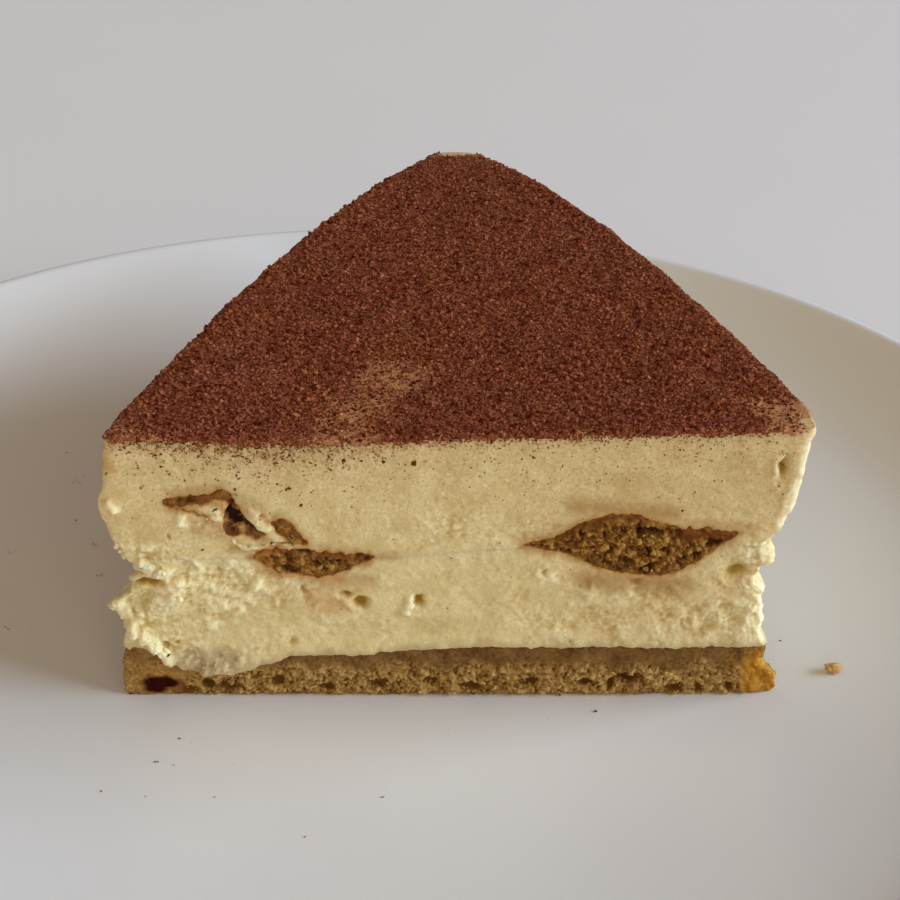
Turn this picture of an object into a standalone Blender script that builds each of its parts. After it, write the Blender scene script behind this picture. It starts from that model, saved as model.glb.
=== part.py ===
# A slice of tiramisu on its plate.
# The frame: origin on the table under the middle of the plate, +Z up, and the wide cut face of the
# slice looks along -Y. The slice is a wedge that narrows towards +Y.
# From bottom to top it is a biscuit base, a lower and an upper layer of mascarpone cream with two
# soaked ladyfingers pressed between them, and a dusting of cocoa.
import math

import bmesh
import bpy
from mathutils import Vector, noise

MM = 0.001
GAP = 0.3 * MM  # kept between neighbours that touch in the real slice

# Plate: a plain coupe plate on a foot ring.
PLATE_RADIUS = 120 * MM
PLATE_HEIGHT = 21 * MM
WELL_RADIUS = 96 * MM
WELL_Z = 6 * MM
WALL = 3.6 * MM
FOOT_RADIUS = 66 * MM
FOOT_WIDTH = 4 * MM  # at the table; its sides flare out to the underside of the well
PLATE_STEPS = 72
FLARE_STEPS = 7
ARC_STEPS = 6

# Slice: its place on the plate and its plan.
SLICE_X = 15 * MM
SLICE_FRONT_Y = -13 * MM
SLICE_Z = WELL_Z + GAP
SLICE_LENGTH = 104 * MM
FRONT_HALF = 50 * MM
TIP_HALF = 5.5 * MM
SIDE_BOW = 2.5 * MM
TIP_ROUND = 3.5 * MM
FRONT_ROUND = 0.8 * MM

# Heights above the bottom of the slice.
BASE_TOP = 9.2 * MM
SEAM_Z = 26 * MM
CREAM_TOP = 45.2 * MM
TOP_TILT = 1.1 * MM  # the top stands this much higher at the right edge than in the middle
TIP_SAG = 3 * MM  # the soft tip has sunk by this much
SAG_START = 0.4  # share of the length where the sinking begins
SAG_SPAN = 0.85  # share of the length over which it would reach its full depth
COCOA = 0.8 * MM

# Soft hollows in a layer's upper surface at the cut face: place across, radius across, radius along, depth.
BASE_DIP = (-36 * MM, 7 * MM, 14 * MM, 3.2 * MM)
TOP_HOLLOW = (-22 * MM, 16 * MM, 20 * MM, 0.7 * MM)
SEAM_STEP = 1.1 * MM  # the seam rises this much from the middle to the right, and falls as much to the left
SEAM_STEP_WIDTH = 12 * MM

# How far each cut side stands inside the plan, by height: (height, inset).
RIGHT_INSET = [(0, 1.3), (4, 1.5), (7.5, 3.8), (10, 4.2), (22, 5.0), (25, 3.9), (27.2, 4.7),
               (33, 2.2), (39, 1.0), (46, 0.1)]
LEFT_INSET = [(0, -0.5), (9.5, 0.6), (15, 0.5), (20, 1.8), (25, 1.2), (27, -0.8), (33, -0.8), (46, 0)]

GRID = (18, 16)  # cells of a layer across and along
LAYER_ROWS = 4  # cells of a layer from bottom to top
ROUGHNESS = 0.35 * MM  # unevenness of the layers

# Ladyfinger sections: the right one is a lens, the left one a broken strip that bends down to the right.
# Each is (x, z) of its left and right points, and how thick it is above and below the line between them.
RIGHT_FINGER = {"left": (10.2, 27.3), "right": (40.6, 28.4), "above": (5.6, 4.2), "below": (5.2, 5.2)}
LEFT_FINGER = {"left": (-41.8, 34.6), "right": (-12.7, 24.7), "thin": 0.5, "thick": 2.5}
LEFT_BEND = (0.22, 0.5)  # where the bend starts and how long it is, as shares of the width
FINGER_STEPS = 16
FINGER_OVERRUN = 6 * MM  # a finger is drawn this much longer than the slice, then trimmed
FINGER_SPAN = (16 * MM, 41 * MM)  # heights between which both fingers lie

COLOURS = {
    "plate": ((0.86, 0.85, 0.82), 0.12),
    "biscuit_base": ((0.27, 0.14, 0.045), 0.9),
    "mascarpone": ((0.78, 0.66, 0.38), 0.5),
    "ladyfinger": ((0.21, 0.1, 0.028), 0.85),
    "cocoa": ((0.12, 0.035, 0.014), 0.95),
}


def clear_scene():
    for obj in list(bpy.data.objects):
        bpy.data.objects.remove(obj, do_unlink=True)


def new_collection(name):
    collection = bpy.data.collections.new(name)
    bpy.context.scene.collection.children.link(collection)
    return collection


def make_material(name):
    colour, roughness = COLOURS[name]
    material = bpy.data.materials.new(name)
    material.use_nodes = True
    shader = material.node_tree.nodes["Principled BSDF"]
    shader.inputs["Base Color"].default_value = (*colour, 1)
    shader.inputs["Roughness"].default_value = roughness
    shader.inputs["Metallic"].default_value = 0
    material.diffuse_color = (*colour, 1)
    return material


def new_object(name, data, collection, material=None):
    obj = bpy.data.objects.new(name, data)
    collection.objects.link(obj)
    if material:
        data.materials.append(material)
    return obj


def smooth_step(value):
    value = min(max(value, 0), 1)
    return value * value * (3 - 2 * value)


def mix(a, b, share):
    return a + (b - a) * share


def inset_at(height, table):
    """The inset of a cut side at a height, read between the rows of its table."""
    height /= MM
    for (low, at_low), (high, at_high) in zip(table, table[1:]):
        if height <= high:
            return mix(at_low, at_high, max(height - low, 0) / (high - low)) * MM
    return table[-1][1] * MM


# Plate -----------------------------------------------------------------------------------------

def arc(centre, radius, start, end, steps=ARC_STEPS):
    """Points (r, z) on a circle from one angle to another, in degrees, both ends included."""
    angles = [math.radians(mix(start, end, i / steps)) for i in range(steps + 1)]
    return [(centre[0] + radius * math.cos(a), centre[1] + radius * math.sin(a)) for a in angles]


def plate_profile():
    """Half section (r, z): from the middle of the well out to the lip, then under to the middle."""
    half = WALL / 2
    lip_centre = (PLATE_RADIUS - half, PLATE_HEIGHT - half)
    run = lip_centre[0] - WELL_RADIUS
    rise = lip_centre[1] - (WELL_Z - half)
    upper, lower = [], []
    for i in range(FLARE_STEPS + 1):
        share = i / FLARE_STEPS
        r = WELL_RADIUS + run * share
        z = WELL_Z - half + rise * share ** 2
        slope = math.atan2(2 * rise * share, run)
        upper.append((r - half * math.sin(slope), z + half * math.cos(slope)))
        lower.append((r + half * math.sin(slope), z - half * math.cos(slope)))
    lip_slope = math.degrees(slope)
    lip = arc(lip_centre, half, lip_slope + 90, lip_slope - 90)[1:-1]
    under_z = WELL_Z - WALL
    foot_out = FOOT_RADIUS + FOOT_WIDTH / 2
    foot_in = FOOT_RADIUS - FOOT_WIDTH / 2
    foot = [(foot_out + under_z, under_z), (foot_out, 0), (foot_in, 0), (foot_in - under_z, under_z)]
    return [(0, WELL_Z), *upper, *lip, *reversed(lower), *foot, (0, under_z)]


def make_plate(collection):
    mesh = bpy.data.meshes.new("plate")
    shape = bmesh.new()
    points = [shape.verts.new((r, 0, z)) for r, z in plate_profile()]
    for a, b in zip(points, points[1:]):
        shape.edges.new((a, b))
    shape.to_mesh(mesh)
    shape.free()
    plate = new_object("plate", mesh, collection, make_material("plate"))
    screw = plate.modifiers.new("turn", "SCREW")
    screw.steps = screw.render_steps = PLATE_STEPS
    screw.use_merge_vertices = True
    screw.merge_threshold = 0.00005
    screw.use_smooth_shade = True
    return plate


# Slice layers ----------------------------------------------------------------------------------

def half_width(along):
    """Half the width of the plan at a share of the length from the front: nearly straight sides."""
    return mix(FRONT_HALF, TIP_HALF, along) + 4 * SIDE_BOW * along * (1 - along)


def ripple(x, y, size, seed):
    """Smooth unevenness of the layer that the seed names, in metres."""
    return ROUGHNESS * noise.noise(Vector((x / size, y / size, seed)))


def hollow_at(x, y, hollow):
    """Depth of a soft hollow that has its middle at the cut face."""
    middle, across, along, depth = hollow
    return depth * math.exp(-((x - middle) / across) ** 2 - (y / along) ** 2)


def base_top(x, y):
    """The base is thinner near the left end of the cut face, where curds of cream fill a dip."""
    return BASE_TOP - hollow_at(x, y, BASE_DIP) + ripple(x, y, 14 * MM, 1)


def seam(x, y):
    """The meeting surface of the two cream layers."""
    return SEAM_Z + SEAM_STEP * math.tanh(x / SEAM_STEP_WIDTH) + ripple(x, y, 11 * MM, 2)


def cream_top(x, y):
    tilt = TOP_TILT * (x / FRONT_HALF) * (1 if x > 0 else 0.2)
    sag = TIP_SAG * smooth_step((y / SLICE_LENGTH - SAG_START) / SAG_SPAN)
    return CREAM_TOP + tilt - hollow_at(x, y, TOP_HOLLOW) - sag + ripple(x, y, 18 * MM, 3)


def raised(surface, by):
    return lambda x, y: surface(x, y) + by


def level(height):
    return lambda x, y: height


def wedge_mesh(name, floor, ceiling, rows):
    """A cube cut into a grid, then bent into the wedge between a floor and a ceiling surface."""
    shape = bmesh.new()
    bmesh.ops.create_cube(shape, size=1)
    for axis, count in enumerate((*GRID, rows)):
        normal = Vector([int(axis == i) for i in range(3)])
        for i in range(1, count):
            geometry = [*shape.verts, *shape.edges, *shape.faces]
            bmesh.ops.bisect_plane(shape, geom=geometry, plane_co=normal * (i / count - 0.5), plane_no=normal)
    for vert in shape.verts:
        vert.co = wedge_point(vert.co.x * 2, vert.co.y + 0.5, vert.co.z + 0.5, floor, ceiling)
    bmesh.ops.recalc_face_normals(shape, faces=shape.faces)
    # The shorter diagonal is the same one on both sides of a seam, so the gap there stays even.
    bmesh.ops.triangulate(shape, faces=shape.faces, quad_method="SHORT_EDGE")
    mesh = bpy.data.meshes.new(name)
    shape.to_mesh(mesh)
    shape.free()
    return mesh


def wedge_point(across, along, up, floor, ceiling):
    """Where a grid point lies: across from -1 to 1, along and up from 0 to 1."""
    width = half_width(along)
    x = across * width
    y = SLICE_LENGTH * along
    y -= TIP_ROUND * across ** 4 * along ** 8
    y += FRONT_ROUND * across ** 12 * (1 - along) ** 8
    z = mix(floor(x, y), ceiling(x, y), up)
    inset = inset_at(z, RIGHT_INSET if across > 0 else LEFT_INSET)
    narrow = min(1, width / (FRONT_HALF / 3))
    x -= inset * narrow * abs(across) ** 2 * (1 if across > 0 else -1)
    return Vector((x, y, z))


def make_layer(name, floor, ceiling, rows, parent, collection, material):
    layer = new_object(name, wedge_mesh(name, floor, ceiling, rows), collection, material)
    layer.parent = parent
    return layer


# Ladyfingers -----------------------------------------------------------------------------------

def right_section(share, grow):
    """(x, lowest z, highest z) of the right finger at a share of its width, grown by a margin."""
    (left_x, left_z), (right_x, right_z) = RIGHT_FINGER["left"], RIGHT_FINGER["right"]
    bulge = math.sin(math.pi * share) ** 0.8
    axis = mix(left_z, right_z, share) * MM
    above = mix(*RIGHT_FINGER["above"], share) * MM * bulge + grow
    below = mix(*RIGHT_FINGER["below"], share) * MM * bulge + grow
    return mix(left_x * MM - grow, right_x * MM + grow, share), axis - below, axis + above


def left_section(share, grow):
    """The left finger is broken: its outer half tips up and its inner half has sunk into the cream."""
    (left_x, left_z), (right_x, right_z) = LEFT_FINGER["left"], LEFT_FINGER["right"]
    start, length = LEFT_BEND
    axis = mix(left_z, right_z, smooth_step((share - start) / length)) * MM
    half = mix(LEFT_FINGER["thin"], LEFT_FINGER["thick"], math.sin(math.pi * share) ** 0.7) * MM + grow
    return mix(left_x * MM - grow, right_x * MM + grow, share), axis - half, axis + half


def finger_mesh(name, section, grow, overrun):
    """A section drawn as a flat curve, extruded past both ends of the slice, as a closed mesh."""
    length = SLICE_LENGTH + 2 * overrun
    rows = [section(i / FINGER_STEPS, grow) for i in range(FINGER_STEPS + 1)]
    outline = [(x, low) for x, low, _ in rows] + [(x, high) for x, _, high in reversed(rows)]
    curve = bpy.data.curves.new(name, "CURVE")
    curve.dimensions = "2D"
    curve.fill_mode = "BOTH"
    curve.extrude = length / 2
    spline = curve.splines.new("POLY")
    spline.points.add(len(outline) - 1)
    for point, (x, z) in zip(spline.points, outline):
        point.co = (x, z, 0, 1)
    spline.use_cyclic_u = True
    drawn = bpy.data.objects.new(name + "_outline", curve)
    bpy.context.scene.collection.objects.link(drawn)
    mesh = bpy.data.meshes.new_from_object(drawn.evaluated_get(bpy.context.evaluated_depsgraph_get()))
    bpy.data.objects.remove(drawn)
    shape = bmesh.new()
    shape.from_mesh(mesh)
    bmesh.ops.remove_doubles(shape, verts=shape.verts, dist=0.00001)
    for vert in shape.verts:
        x, z, back = vert.co
        vert.co = (x, SLICE_LENGTH / 2 + back, z)
    bmesh.ops.recalc_face_normals(shape, faces=shape.faces)
    shape.to_mesh(mesh)
    shape.free()
    mesh.name = name
    return mesh


def add_boolean(obj, cutter, operation):
    boolean = obj.modifiers.new(cutter.name, "BOOLEAN")
    boolean.operation = operation
    boolean.object = cutter
    boolean.solver = "EXACT"


def make_cutter(name, mesh, parent, cutters):
    cutter = new_object(name, mesh, cutters)
    cutter.parent = parent
    cutter.hide_render = True
    cutter.display_type = "WIRE"
    return cutter


def make_fingers(parent, collection, cutters, layers):
    """Each finger is trimmed to the cut faces of the wedge, and lies in a trough in both creams."""
    lowest, highest = FINGER_SPAN
    envelope = wedge_mesh("slice_envelope", level(lowest), level(highest), 6)
    envelope = make_cutter("slice_envelope", envelope, parent, cutters)
    material = make_material("ladyfinger")
    for side, section in (("left", left_section), ("right", right_section)):
        name = "ladyfinger_" + side
        finger = new_object(name, finger_mesh(name, section, 0, FINGER_OVERRUN), collection, material)
        finger.parent = parent
        add_boolean(finger, envelope, "INTERSECT")
        trough = finger_mesh("trough_" + side, section, GAP, 2 * FINGER_OVERRUN)
        trough = make_cutter("trough_" + side, trough, parent, cutters)
        for layer in layers:
            add_boolean(layer, trough, "DIFFERENCE")


# The whole -------------------------------------------------------------------------------------

def main():
    clear_scene()
    collection = new_collection("tiramisu_slice_on_plate")
    cutters = new_collection("cutters")
    make_plate(collection)
    place = bpy.data.objects.new("slice", None)
    place.location = (SLICE_X, SLICE_FRONT_Y, SLICE_Z)
    collection.objects.link(place)
    cream, biscuit = make_material("mascarpone"), make_material("biscuit_base")
    cocoa_floor, cocoa_top = raised(cream_top, GAP), raised(cream_top, GAP + COCOA)
    make_layer("biscuit_base", level(0), base_top, LAYER_ROWS, place, collection, biscuit)
    lower = make_layer("mascarpone_lower", raised(base_top, GAP), seam, LAYER_ROWS, place, collection, cream)
    upper = make_layer("mascarpone_upper", raised(seam, GAP), cream_top, LAYER_ROWS, place, collection, cream)
    make_layer("cocoa_layer", cocoa_floor, cocoa_top, 1, place, collection, make_material("cocoa"))
    make_fingers(place, collection, cutters, (lower, upper))


main()
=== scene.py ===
import math
import random

import bmesh
import bpy
import numpy
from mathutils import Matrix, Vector, noise


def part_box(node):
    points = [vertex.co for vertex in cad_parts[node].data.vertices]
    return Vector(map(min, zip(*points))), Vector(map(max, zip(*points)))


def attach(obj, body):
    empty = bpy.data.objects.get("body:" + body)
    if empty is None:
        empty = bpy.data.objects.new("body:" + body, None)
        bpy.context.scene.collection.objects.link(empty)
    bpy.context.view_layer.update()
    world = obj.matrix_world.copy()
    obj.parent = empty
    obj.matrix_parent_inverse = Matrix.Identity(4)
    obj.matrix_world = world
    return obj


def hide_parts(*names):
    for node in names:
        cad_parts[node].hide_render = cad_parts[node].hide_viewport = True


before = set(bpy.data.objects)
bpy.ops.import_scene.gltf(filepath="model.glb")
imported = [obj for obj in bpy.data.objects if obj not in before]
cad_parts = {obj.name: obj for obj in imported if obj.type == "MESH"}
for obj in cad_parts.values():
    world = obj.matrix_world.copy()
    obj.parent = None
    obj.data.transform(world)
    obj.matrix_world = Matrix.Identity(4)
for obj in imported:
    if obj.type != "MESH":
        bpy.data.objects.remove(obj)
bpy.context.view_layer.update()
noise.seed_set(7)  # without this noise_vector differs from run to run
print("frame loaded")

mm = 0.001
baseLow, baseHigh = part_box("biscuit_base")
cocoaLow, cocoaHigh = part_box("cocoa_layer")

# The slice is shaped in millimetres of its own: u across from the middle of the cut face,
# v back from that face and w up from the plate.
sliceOrigin = Vector(((cocoaLow.x + cocoaHigh.x) / 2, baseLow.y, baseLow.z))

plate = {"radius": 120.0, "height": 21.0, "middleZ": 6.25, "flat": 40.0, "bowl": 0.0012, "well": 94.0,
         "wall": 3.6, "foot": 66.0, "footWidth": 4.0, "turns": 288}
lipRise = plate["height"] - plate["wall"] / 2 - (plate["middleZ"] - plate["wall"] / 2)
lipAt = plate["radius"] - plate["wall"] / 2
plate["lift"] = (lipRise - plate["bowl"] * (lipAt - plate["flat"]) ** 2) / (lipAt - plate["well"]) ** 2

wedge = {
    "length": (baseHigh.y - baseLow.y) / mm,
    "frontHalf": 50.0,
    "tipHalf": 5.5,
    "bow": 2.5,  # how far the long sides swell
    "tipRound": 3.5,
    "tilt": 1.1,  # how much higher the right side of the top is
    "dip": 0.8,  # in the top behind the left half of the cut face
    "sag": 3.0,  # how much lower the top is towards the tip
    "baseTop": 9.3,
    # the base's top edge on the cut face, as (u, w): the cream sinks into a dip left of the middle
    "baseFront": [(-48.5, 9.4), (-45, 8.3), (-43, 6.3), (-40, 4.9), (-38, 4.2), (-34, 4.1), (-31, 5.2),
                  (-28, 6.4), (-24, 7.4), (-18, 7.8), (-8, 8.6), (4, 9.2)],
    "seam": 26.0,
    "creamTop": 45.4,
    "cocoaTop": 45.95,
    "step": 0.25,  # between the points of the cut face
    "sideStep": 0.6,
    "rounding": 6,
    "cornerRounding": {1: 110, -1: 16},  # right and left
    "footTop": 6,  # below this the right side sticks out, at the front corner only
    "footInset": 3.9,  # behind that corner
    # how far a cut side stands inside the plan, as (height, inset)
    "rightInset": [(0, 2.0), (1.5, 1.6), (3.4, 1.6), (4.4, 2.2), (5.2, 3.5), (6.4, 3.9), (8.4, 3.7),
                   (9.3, 3.9), (10.6, 4.8), (17, 4.9), (19.2, 4.7), (20.3, 6.1), (23.4, 5.5), (24.3, 3.4),
                   (25.5, 3.6), (26.6, 4.1), (27.6, 5.2), (28.7, 3.8), (29.7, 2.8), (31.8, 2.3), (32.8, 1.6),
                   (34.8, 1.1), (37.9, 0.7), (39.9, 0.3), (43.9, 0.0), (46, -0.6)],
    "leftInset": [(0, -0.5), (3, -0.6), (6, -0.3), (9.5, 0.3), (11.7, 0.9), (12.8, 0.5), (14.5, 0.0),
                  (16.2, -0.7), (17.4, -0.3), (18.4, 1.0), (19.2, 1.8), (21.3, 2.4), (22.4, 4.0), (23.4, 4.2),
                  (24.5, 1.6), (25.5, 0.6), (26.6, 0.9), (27.6, -0.1), (28.7, -0.5), (30.7, -0.9),
                  (32.3, -1.5), (33.8, -1.7), (35.2, -1.5), (36.5, -0.9), (38, -0.6), (42, -0.3), (46, 0.1)],
}


def mix(a, b, share):
    return a + (b - a) * share


def clamp(value, low=0.0, high=1.0):
    return min(max(value, low), high)


def smooth(value):
    value = clamp(value)
    return value * value * (3 - 2 * value)


def fromTable(table, at):
    for (low, lowValue), (high, highValue) in zip(table, table[1:]):
        if at <= high:
            return mix(lowValue, highValue, smooth((at - low) / (high - low)))
    return table[-1][1]


def toFrame(u, v, w):
    return sliceOrigin + Vector((u, v, w)) * mm


def cloud(u, v, w, size, octaves=2, seed=0.0):
    return noise.fractal(Vector((u / size + seed, v / size, w / size)), 1.0, 2.0, octaves)


def lumps(u, v, w, size, seed=0.0):
    # about 1 on a rounded lump and 0 in the crease between two
    place = Vector((u / size + seed, v / size, w / size))
    place += 0.45 * noise.noise_vector(place * 0.8)
    return min(1.0, 1.6 * abs(noise.noise(place)) ** 0.6)


def curdAt(u, v, w, size, seed):
    # how far the curd at a place stands out, from -1 to 1, and 1 on the curd or 0 in the crease beside it
    place = Vector((u / size + seed, v / size, 1.1 * w / size))
    place += 0.3 * noise.noise_vector(place * 1.6)
    (near, further, *_), (middle, other, *_) = noise.voronoi(place)
    own, others = noise.cell(middle * 7.3), noise.cell(other * 7.3)
    share = smooth((further - near) / 0.4)
    return mix((own + others) / 2, own, share), share


def spot(u, w, place, radii, power=1.0):
    # 1 at the middle of a soft oval, 0 away from it
    du, dw = (u - place[0]) / radii[0], (w - place[1]) / radii[1]
    return math.exp(-(du * du + dw * dw) ** power)


def stroke(u, w, start, end, width):
    # 1 along a line, falling to 0 at its sides
    du, dw = end[0] - start[0], end[1] - start[1]
    share = clamp(((u - start[0]) * du + (w - start[1]) * dw) / (du * du + dw * dw))
    du, dw = u - start[0] - du * share, w - start[1] - dw * share
    return math.exp(-(du * du + dw * dw) / width ** 2)


def strongest(kind, rows, u, w, *power):
    # the strongest of several spots or strokes at a place; the last number of a row is its strength
    return max((row[-1] * kind(u, w, *row[:-1], *power) for row in rows), default=0.0)


def onCut(v):
    # 1 on the cut face, falling to 0 a little behind it
    return smooth((3 - v) / 2.5)


class Wire:
    # a node's output that can be written into sums
    def __init__(self, tree, socket):
        self.tree = tree
        self.socket = socket

    def __add__(self, other):
        return maths(self.tree, "ADD", self, other)

    def __radd__(self, other):
        return maths(self.tree, "ADD", other, self)

    def __sub__(self, other):
        return maths(self.tree, "SUBTRACT", self, other)

    def __rsub__(self, other):
        return maths(self.tree, "SUBTRACT", other, self)

    def __mul__(self, other):
        return maths(self.tree, "MULTIPLY", self, other)

    def __rmul__(self, other):
        return maths(self.tree, "MULTIPLY", other, self)

    def clamped(self):
        return maths(self.tree, "ADD", self, 0.0, clamp=True)


def feed(tree, socket, value):
    if isinstance(value, Wire):
        tree.links.new(value.socket, socket)
    elif isinstance(value, (tuple, list)) and len(value) == 3 and socket.type == "RGBA":
        socket.default_value = (*value, 1)
    else:
        socket.default_value = value


def maths(tree, operation, a, b, clamp=False):
    made = tree.nodes.new("ShaderNodeMath")
    made.operation = operation
    made.use_clamp = clamp
    feed(tree, made.inputs[0], a)
    feed(tree, made.inputs[1], b)
    return Wire(tree, made.outputs[0])


class Paint:
    # one material: its Principled shader, the place on the object and the nodes that feed it
    def __init__(self, name, **fixed):
        self.material = bpy.data.materials.new(name)
        self.material.use_nodes = True
        self.tree = self.material.node_tree
        self.shader = self.tree.nodes["Principled BSDF"]
        for socket, value in fixed.items():
            self.shader.inputs[socket.replace("_", " ")].default_value = value
        self.place = self.node("ShaderNodeTexCoord", output="Object")

    def node(self, kind, settings=None, inputs=None, output=0):
        made = self.tree.nodes.new(kind)
        for key, value in (settings or {}).items():
            setattr(made, key, value)
        for key, value in (inputs or {}).items():
            feed(self.tree, made.inputs[key], value)
        return Wire(self.tree, made.outputs[output])

    def noise(self, size, detail=2.0, rough=0.5):
        # size in millimetres
        return self.node("ShaderNodeTexNoise", inputs={"Vector": self.place, "Scale": 1 / (size * mm),
                                                       "Detail": detail, "Roughness": rough}, output="Fac")

    def mark(self, name):
        # a value that the shape carries on its points
        return self.node("ShaderNodeAttribute", {"attribute_name": name}, output="Fac")

    def step(self, value, low, high):
        return self.node("ShaderNodeMapRange", {"interpolation_type": "SMOOTHSTEP"},
                         {"Value": value, "From Min": low, "From Max": high}, output="Result")

    def blend(self, share, a, b):
        made = self.tree.nodes.new("ShaderNodeMix")
        made.data_type = "RGBA"
        feed(self.tree, made.inputs[0], share)
        feed(self.tree, made.inputs[6], a)
        feed(self.tree, made.inputs[7], b)
        return Wire(self.tree, made.outputs[2])

    def bump(self, height, distance, strength=1.0):
        return self.node("ShaderNodeBump", inputs={"Height": height, "Distance": distance * mm,
                                                   "Strength": strength})

    def finish(self, colour=None, roughness=None, normal=None):
        for socket, value in (("Base Color", colour), ("Roughness", roughness), ("Normal", normal)):
            if value is not None:
                feed(self.tree, self.shader.inputs[socket], value)
        return self.material


def makePiece(name, shape, paint, replaced=()):
    mesh = bpy.data.meshes.new(name)
    shape.to_mesh(mesh)
    shape.free()
    return settle(name, mesh, paint, replaced)


def settle(name, mesh, paint, replaced=(), flat=False):
    if not flat:
        mesh.polygons.foreach_set("use_smooth", [True] * len(mesh.polygons))
    mesh.materials.append(paint)
    piece = bpy.data.objects.new(name, mesh)
    bpy.context.scene.collection.objects.link(piece)
    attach(piece, "root")
    if replaced:
        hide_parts(*replaced)
    print("made", name, sum(len(p.vertices) - 2 for p in mesh.polygons), "triangles")
    return piece


def closeRims(shape):
    bmesh.ops.remove_doubles(shape, verts=shape.verts, dist=0.01 * mm)
    rims = [edge for edge in shape.edges if edge.is_boundary]
    caps = bmesh.ops.holes_fill(shape, edges=rims, sides=0)["faces"]
    bmesh.ops.triangulate(shape, faces=caps)
    bmesh.ops.recalc_face_normals(shape, faces=shape.faces)
    if shape.calc_volume(signed=True) < 0:  # where a shape folds onto itself the guess can be inside out
        bmesh.ops.reverse_faces(shape, faces=shape.faces)


def halfWidth(v):
    share = clamp(v / wedge["length"])
    return mix(wedge["frontHalf"], wedge["tipHalf"], share) + 4 * wedge["bow"] * share * (1 - share)


def dishRise(r):
    # the plate's upper side stands this much above its middle at r mm from it
    return plate["bowl"] * max(r - plate["flat"], 0) ** 2 + plate["lift"] * max(r - plate["well"], 0) ** 2


def baseBottom(u, v):
    return dishRise(math.hypot(u + sliceOrigin.x / mm, v + sliceOrigin.y / mm))


def baseTop(u, v):
    front = fromTable(wedge["baseFront"], u) + 0.55 * cloud(u, v, 0, 2.4, 2, seed=63) * smooth((-u - 27) / 5)
    fine = 0.3 * cloud(u, v, 0, 1.5, 2, seed=8)
    return mix(front, wedge["baseTop"], smooth((v - 1.5) / 12)) + 0.3 * cloud(u, v, 0, 9, seed=3) + fine


def seamAt(u, v):
    return wedge["seam"] + 1.1 * math.tanh(u / 12) + 0.3 * cloud(u, v, 0, 11, seed=5)


def topShape(u, v):
    # how far the top differs from a level one
    tilt = wedge["tilt"] * (u / wedge["frontHalf"]) * (1 if u > 0 else 0.2)
    dip = wedge["dip"] * math.exp(-((u + 22) / 16) ** 2 - (v / 20) ** 2)
    sag = wedge["sag"] * smooth((v / wedge["length"] - 0.4) / 0.85)
    return tilt - dip - sag + 0.25 * cloud(u, v, 0, 18, seed=7)


def creamTop(u, v):
    return wedge["creamTop"] + topShape(u, v)


def cocoaTop(u, v):
    return wedge["cocoaTop"] + topShape(u, v)


def sideInset(u, v, w):
    # how far a cut side stands inside the plan; it wavers a little along the slice
    seed = 11 if u > 0 else 17
    waver = 0.5 * cloud(0, v, w, 9, seed=seed) * smooth(v / 6)
    height = w + 1.5 * cloud(0, v, 0, 13, seed=2) * smooth((v - 6) / 8)
    inset = fromTable(wedge["rightInset" if u > 0 else "leftInset"], height)
    if u > 0 and height < wedge["footTop"]:
        inset = mix(inset, max(inset, wedge["footInset"]), smooth((v - 1.5) / 2.5))
    return (inset + waver) * min(1, halfWidth(v) / 16)


def drawnIn(u, v, w):
    # where a side's inset moves a point of the plan to
    share = min(abs(u) / max(halfWidth(v), 1), 1) ** 3
    return u - sideInset(u, v, w) * share * (1 if u > 0 else -1)


def planOutline():
    # points (u, v) round the slice from its front left corner to the right, and which way they face
    length, tipHalf, tipRound = wedge["length"], wedge["tipHalf"], wedge["tipRound"]
    front = int(2 * wedge["frontHalf"] / wedge["step"])
    side = int(length / wedge["sideStep"])
    tip = int(2 * tipHalf / wedge["sideStep"])
    points = [Vector((mix(-1, 1, i / front) * wedge["frontHalf"], 0)) for i in range(front)]
    rightSide = [Vector((halfWidth(length * i / side), length * i / side - tipRound * (i / side) ** 8))
                 for i in range(side)]
    points += rightSide
    points += [Vector((across * tipHalf, length - tipRound * abs(across) ** 4))
               for across in (mix(1, -1, i / tip) for i in range(tip))]
    points += [Vector((-p.x, p.y)) for p in reversed([*rightSide[1:], Vector((tipHalf, length - tipRound))])]
    for turn in range(max(wedge["cornerRounding"].values())):
        # the first turns soften the whole outline, the rest only the two front corners
        softened = []
        for i, p in enumerate(points):
            atCorner = p.y < 7 and abs(p.x) > wedge["frontHalf"] - 7
            if turn < wedge["rounding"] or atCorner and turn < wedge["cornerRounding"][1 if p.x > 0 else -1]:
                p = (points[i - 1] + 2 * p + points[(i + 1) % len(points)]) / 4
            softened.append(p)
        points = softened
    # the rounding drew the corners in
    right, left = max(p.x for p in points), -min(p.x for p in points)
    points = [Vector((p.x * wedge["frontHalf"] / (right if p.x > 0 else left), p.y)) for p in points]
    facing = []
    for i in range(len(points)):
        along = (points[(i + 1) % len(points)] - points[i - 1]).normalized()
        facing.append(Vector((along.y, -along.x)))
    return points, facing


def bendWall(profile, floor, ceiling, relief, marks):
    # a flat grid bent round the slice: the profile lists each row's share of the height
    # and how far inside the wall it lies
    shape = bmesh.new()
    bmesh.ops.create_grid(shape, x_segments=len(outline), y_segments=len(profile) - 1, size=0.5)
    layers = {name: shape.verts.layers.float.new(name) for name in marks}
    for vert in shape.verts:
        column = round((vert.co.x + 0.5) * len(outline)) % len(outline)
        height, inside = profile[round((vert.co.y + 0.5) * (len(profile) - 1))]
        (u, v), face = outline[column], outlineFacing[column]
        w = mix(floor(u, v), ceiling(u, v), height)
        u = drawnIn(u, v, w)
        offset, values = relief(u, v, w)
        reach = offset - inside * min(1, halfWidth(v) / 14)
        vert.co = toFrame(u + face.x * reach, v + face.y * reach, w)
        for name, value in values.items():
            vert[layers[name]] = value
    closeRims(shape)
    return shape


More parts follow.
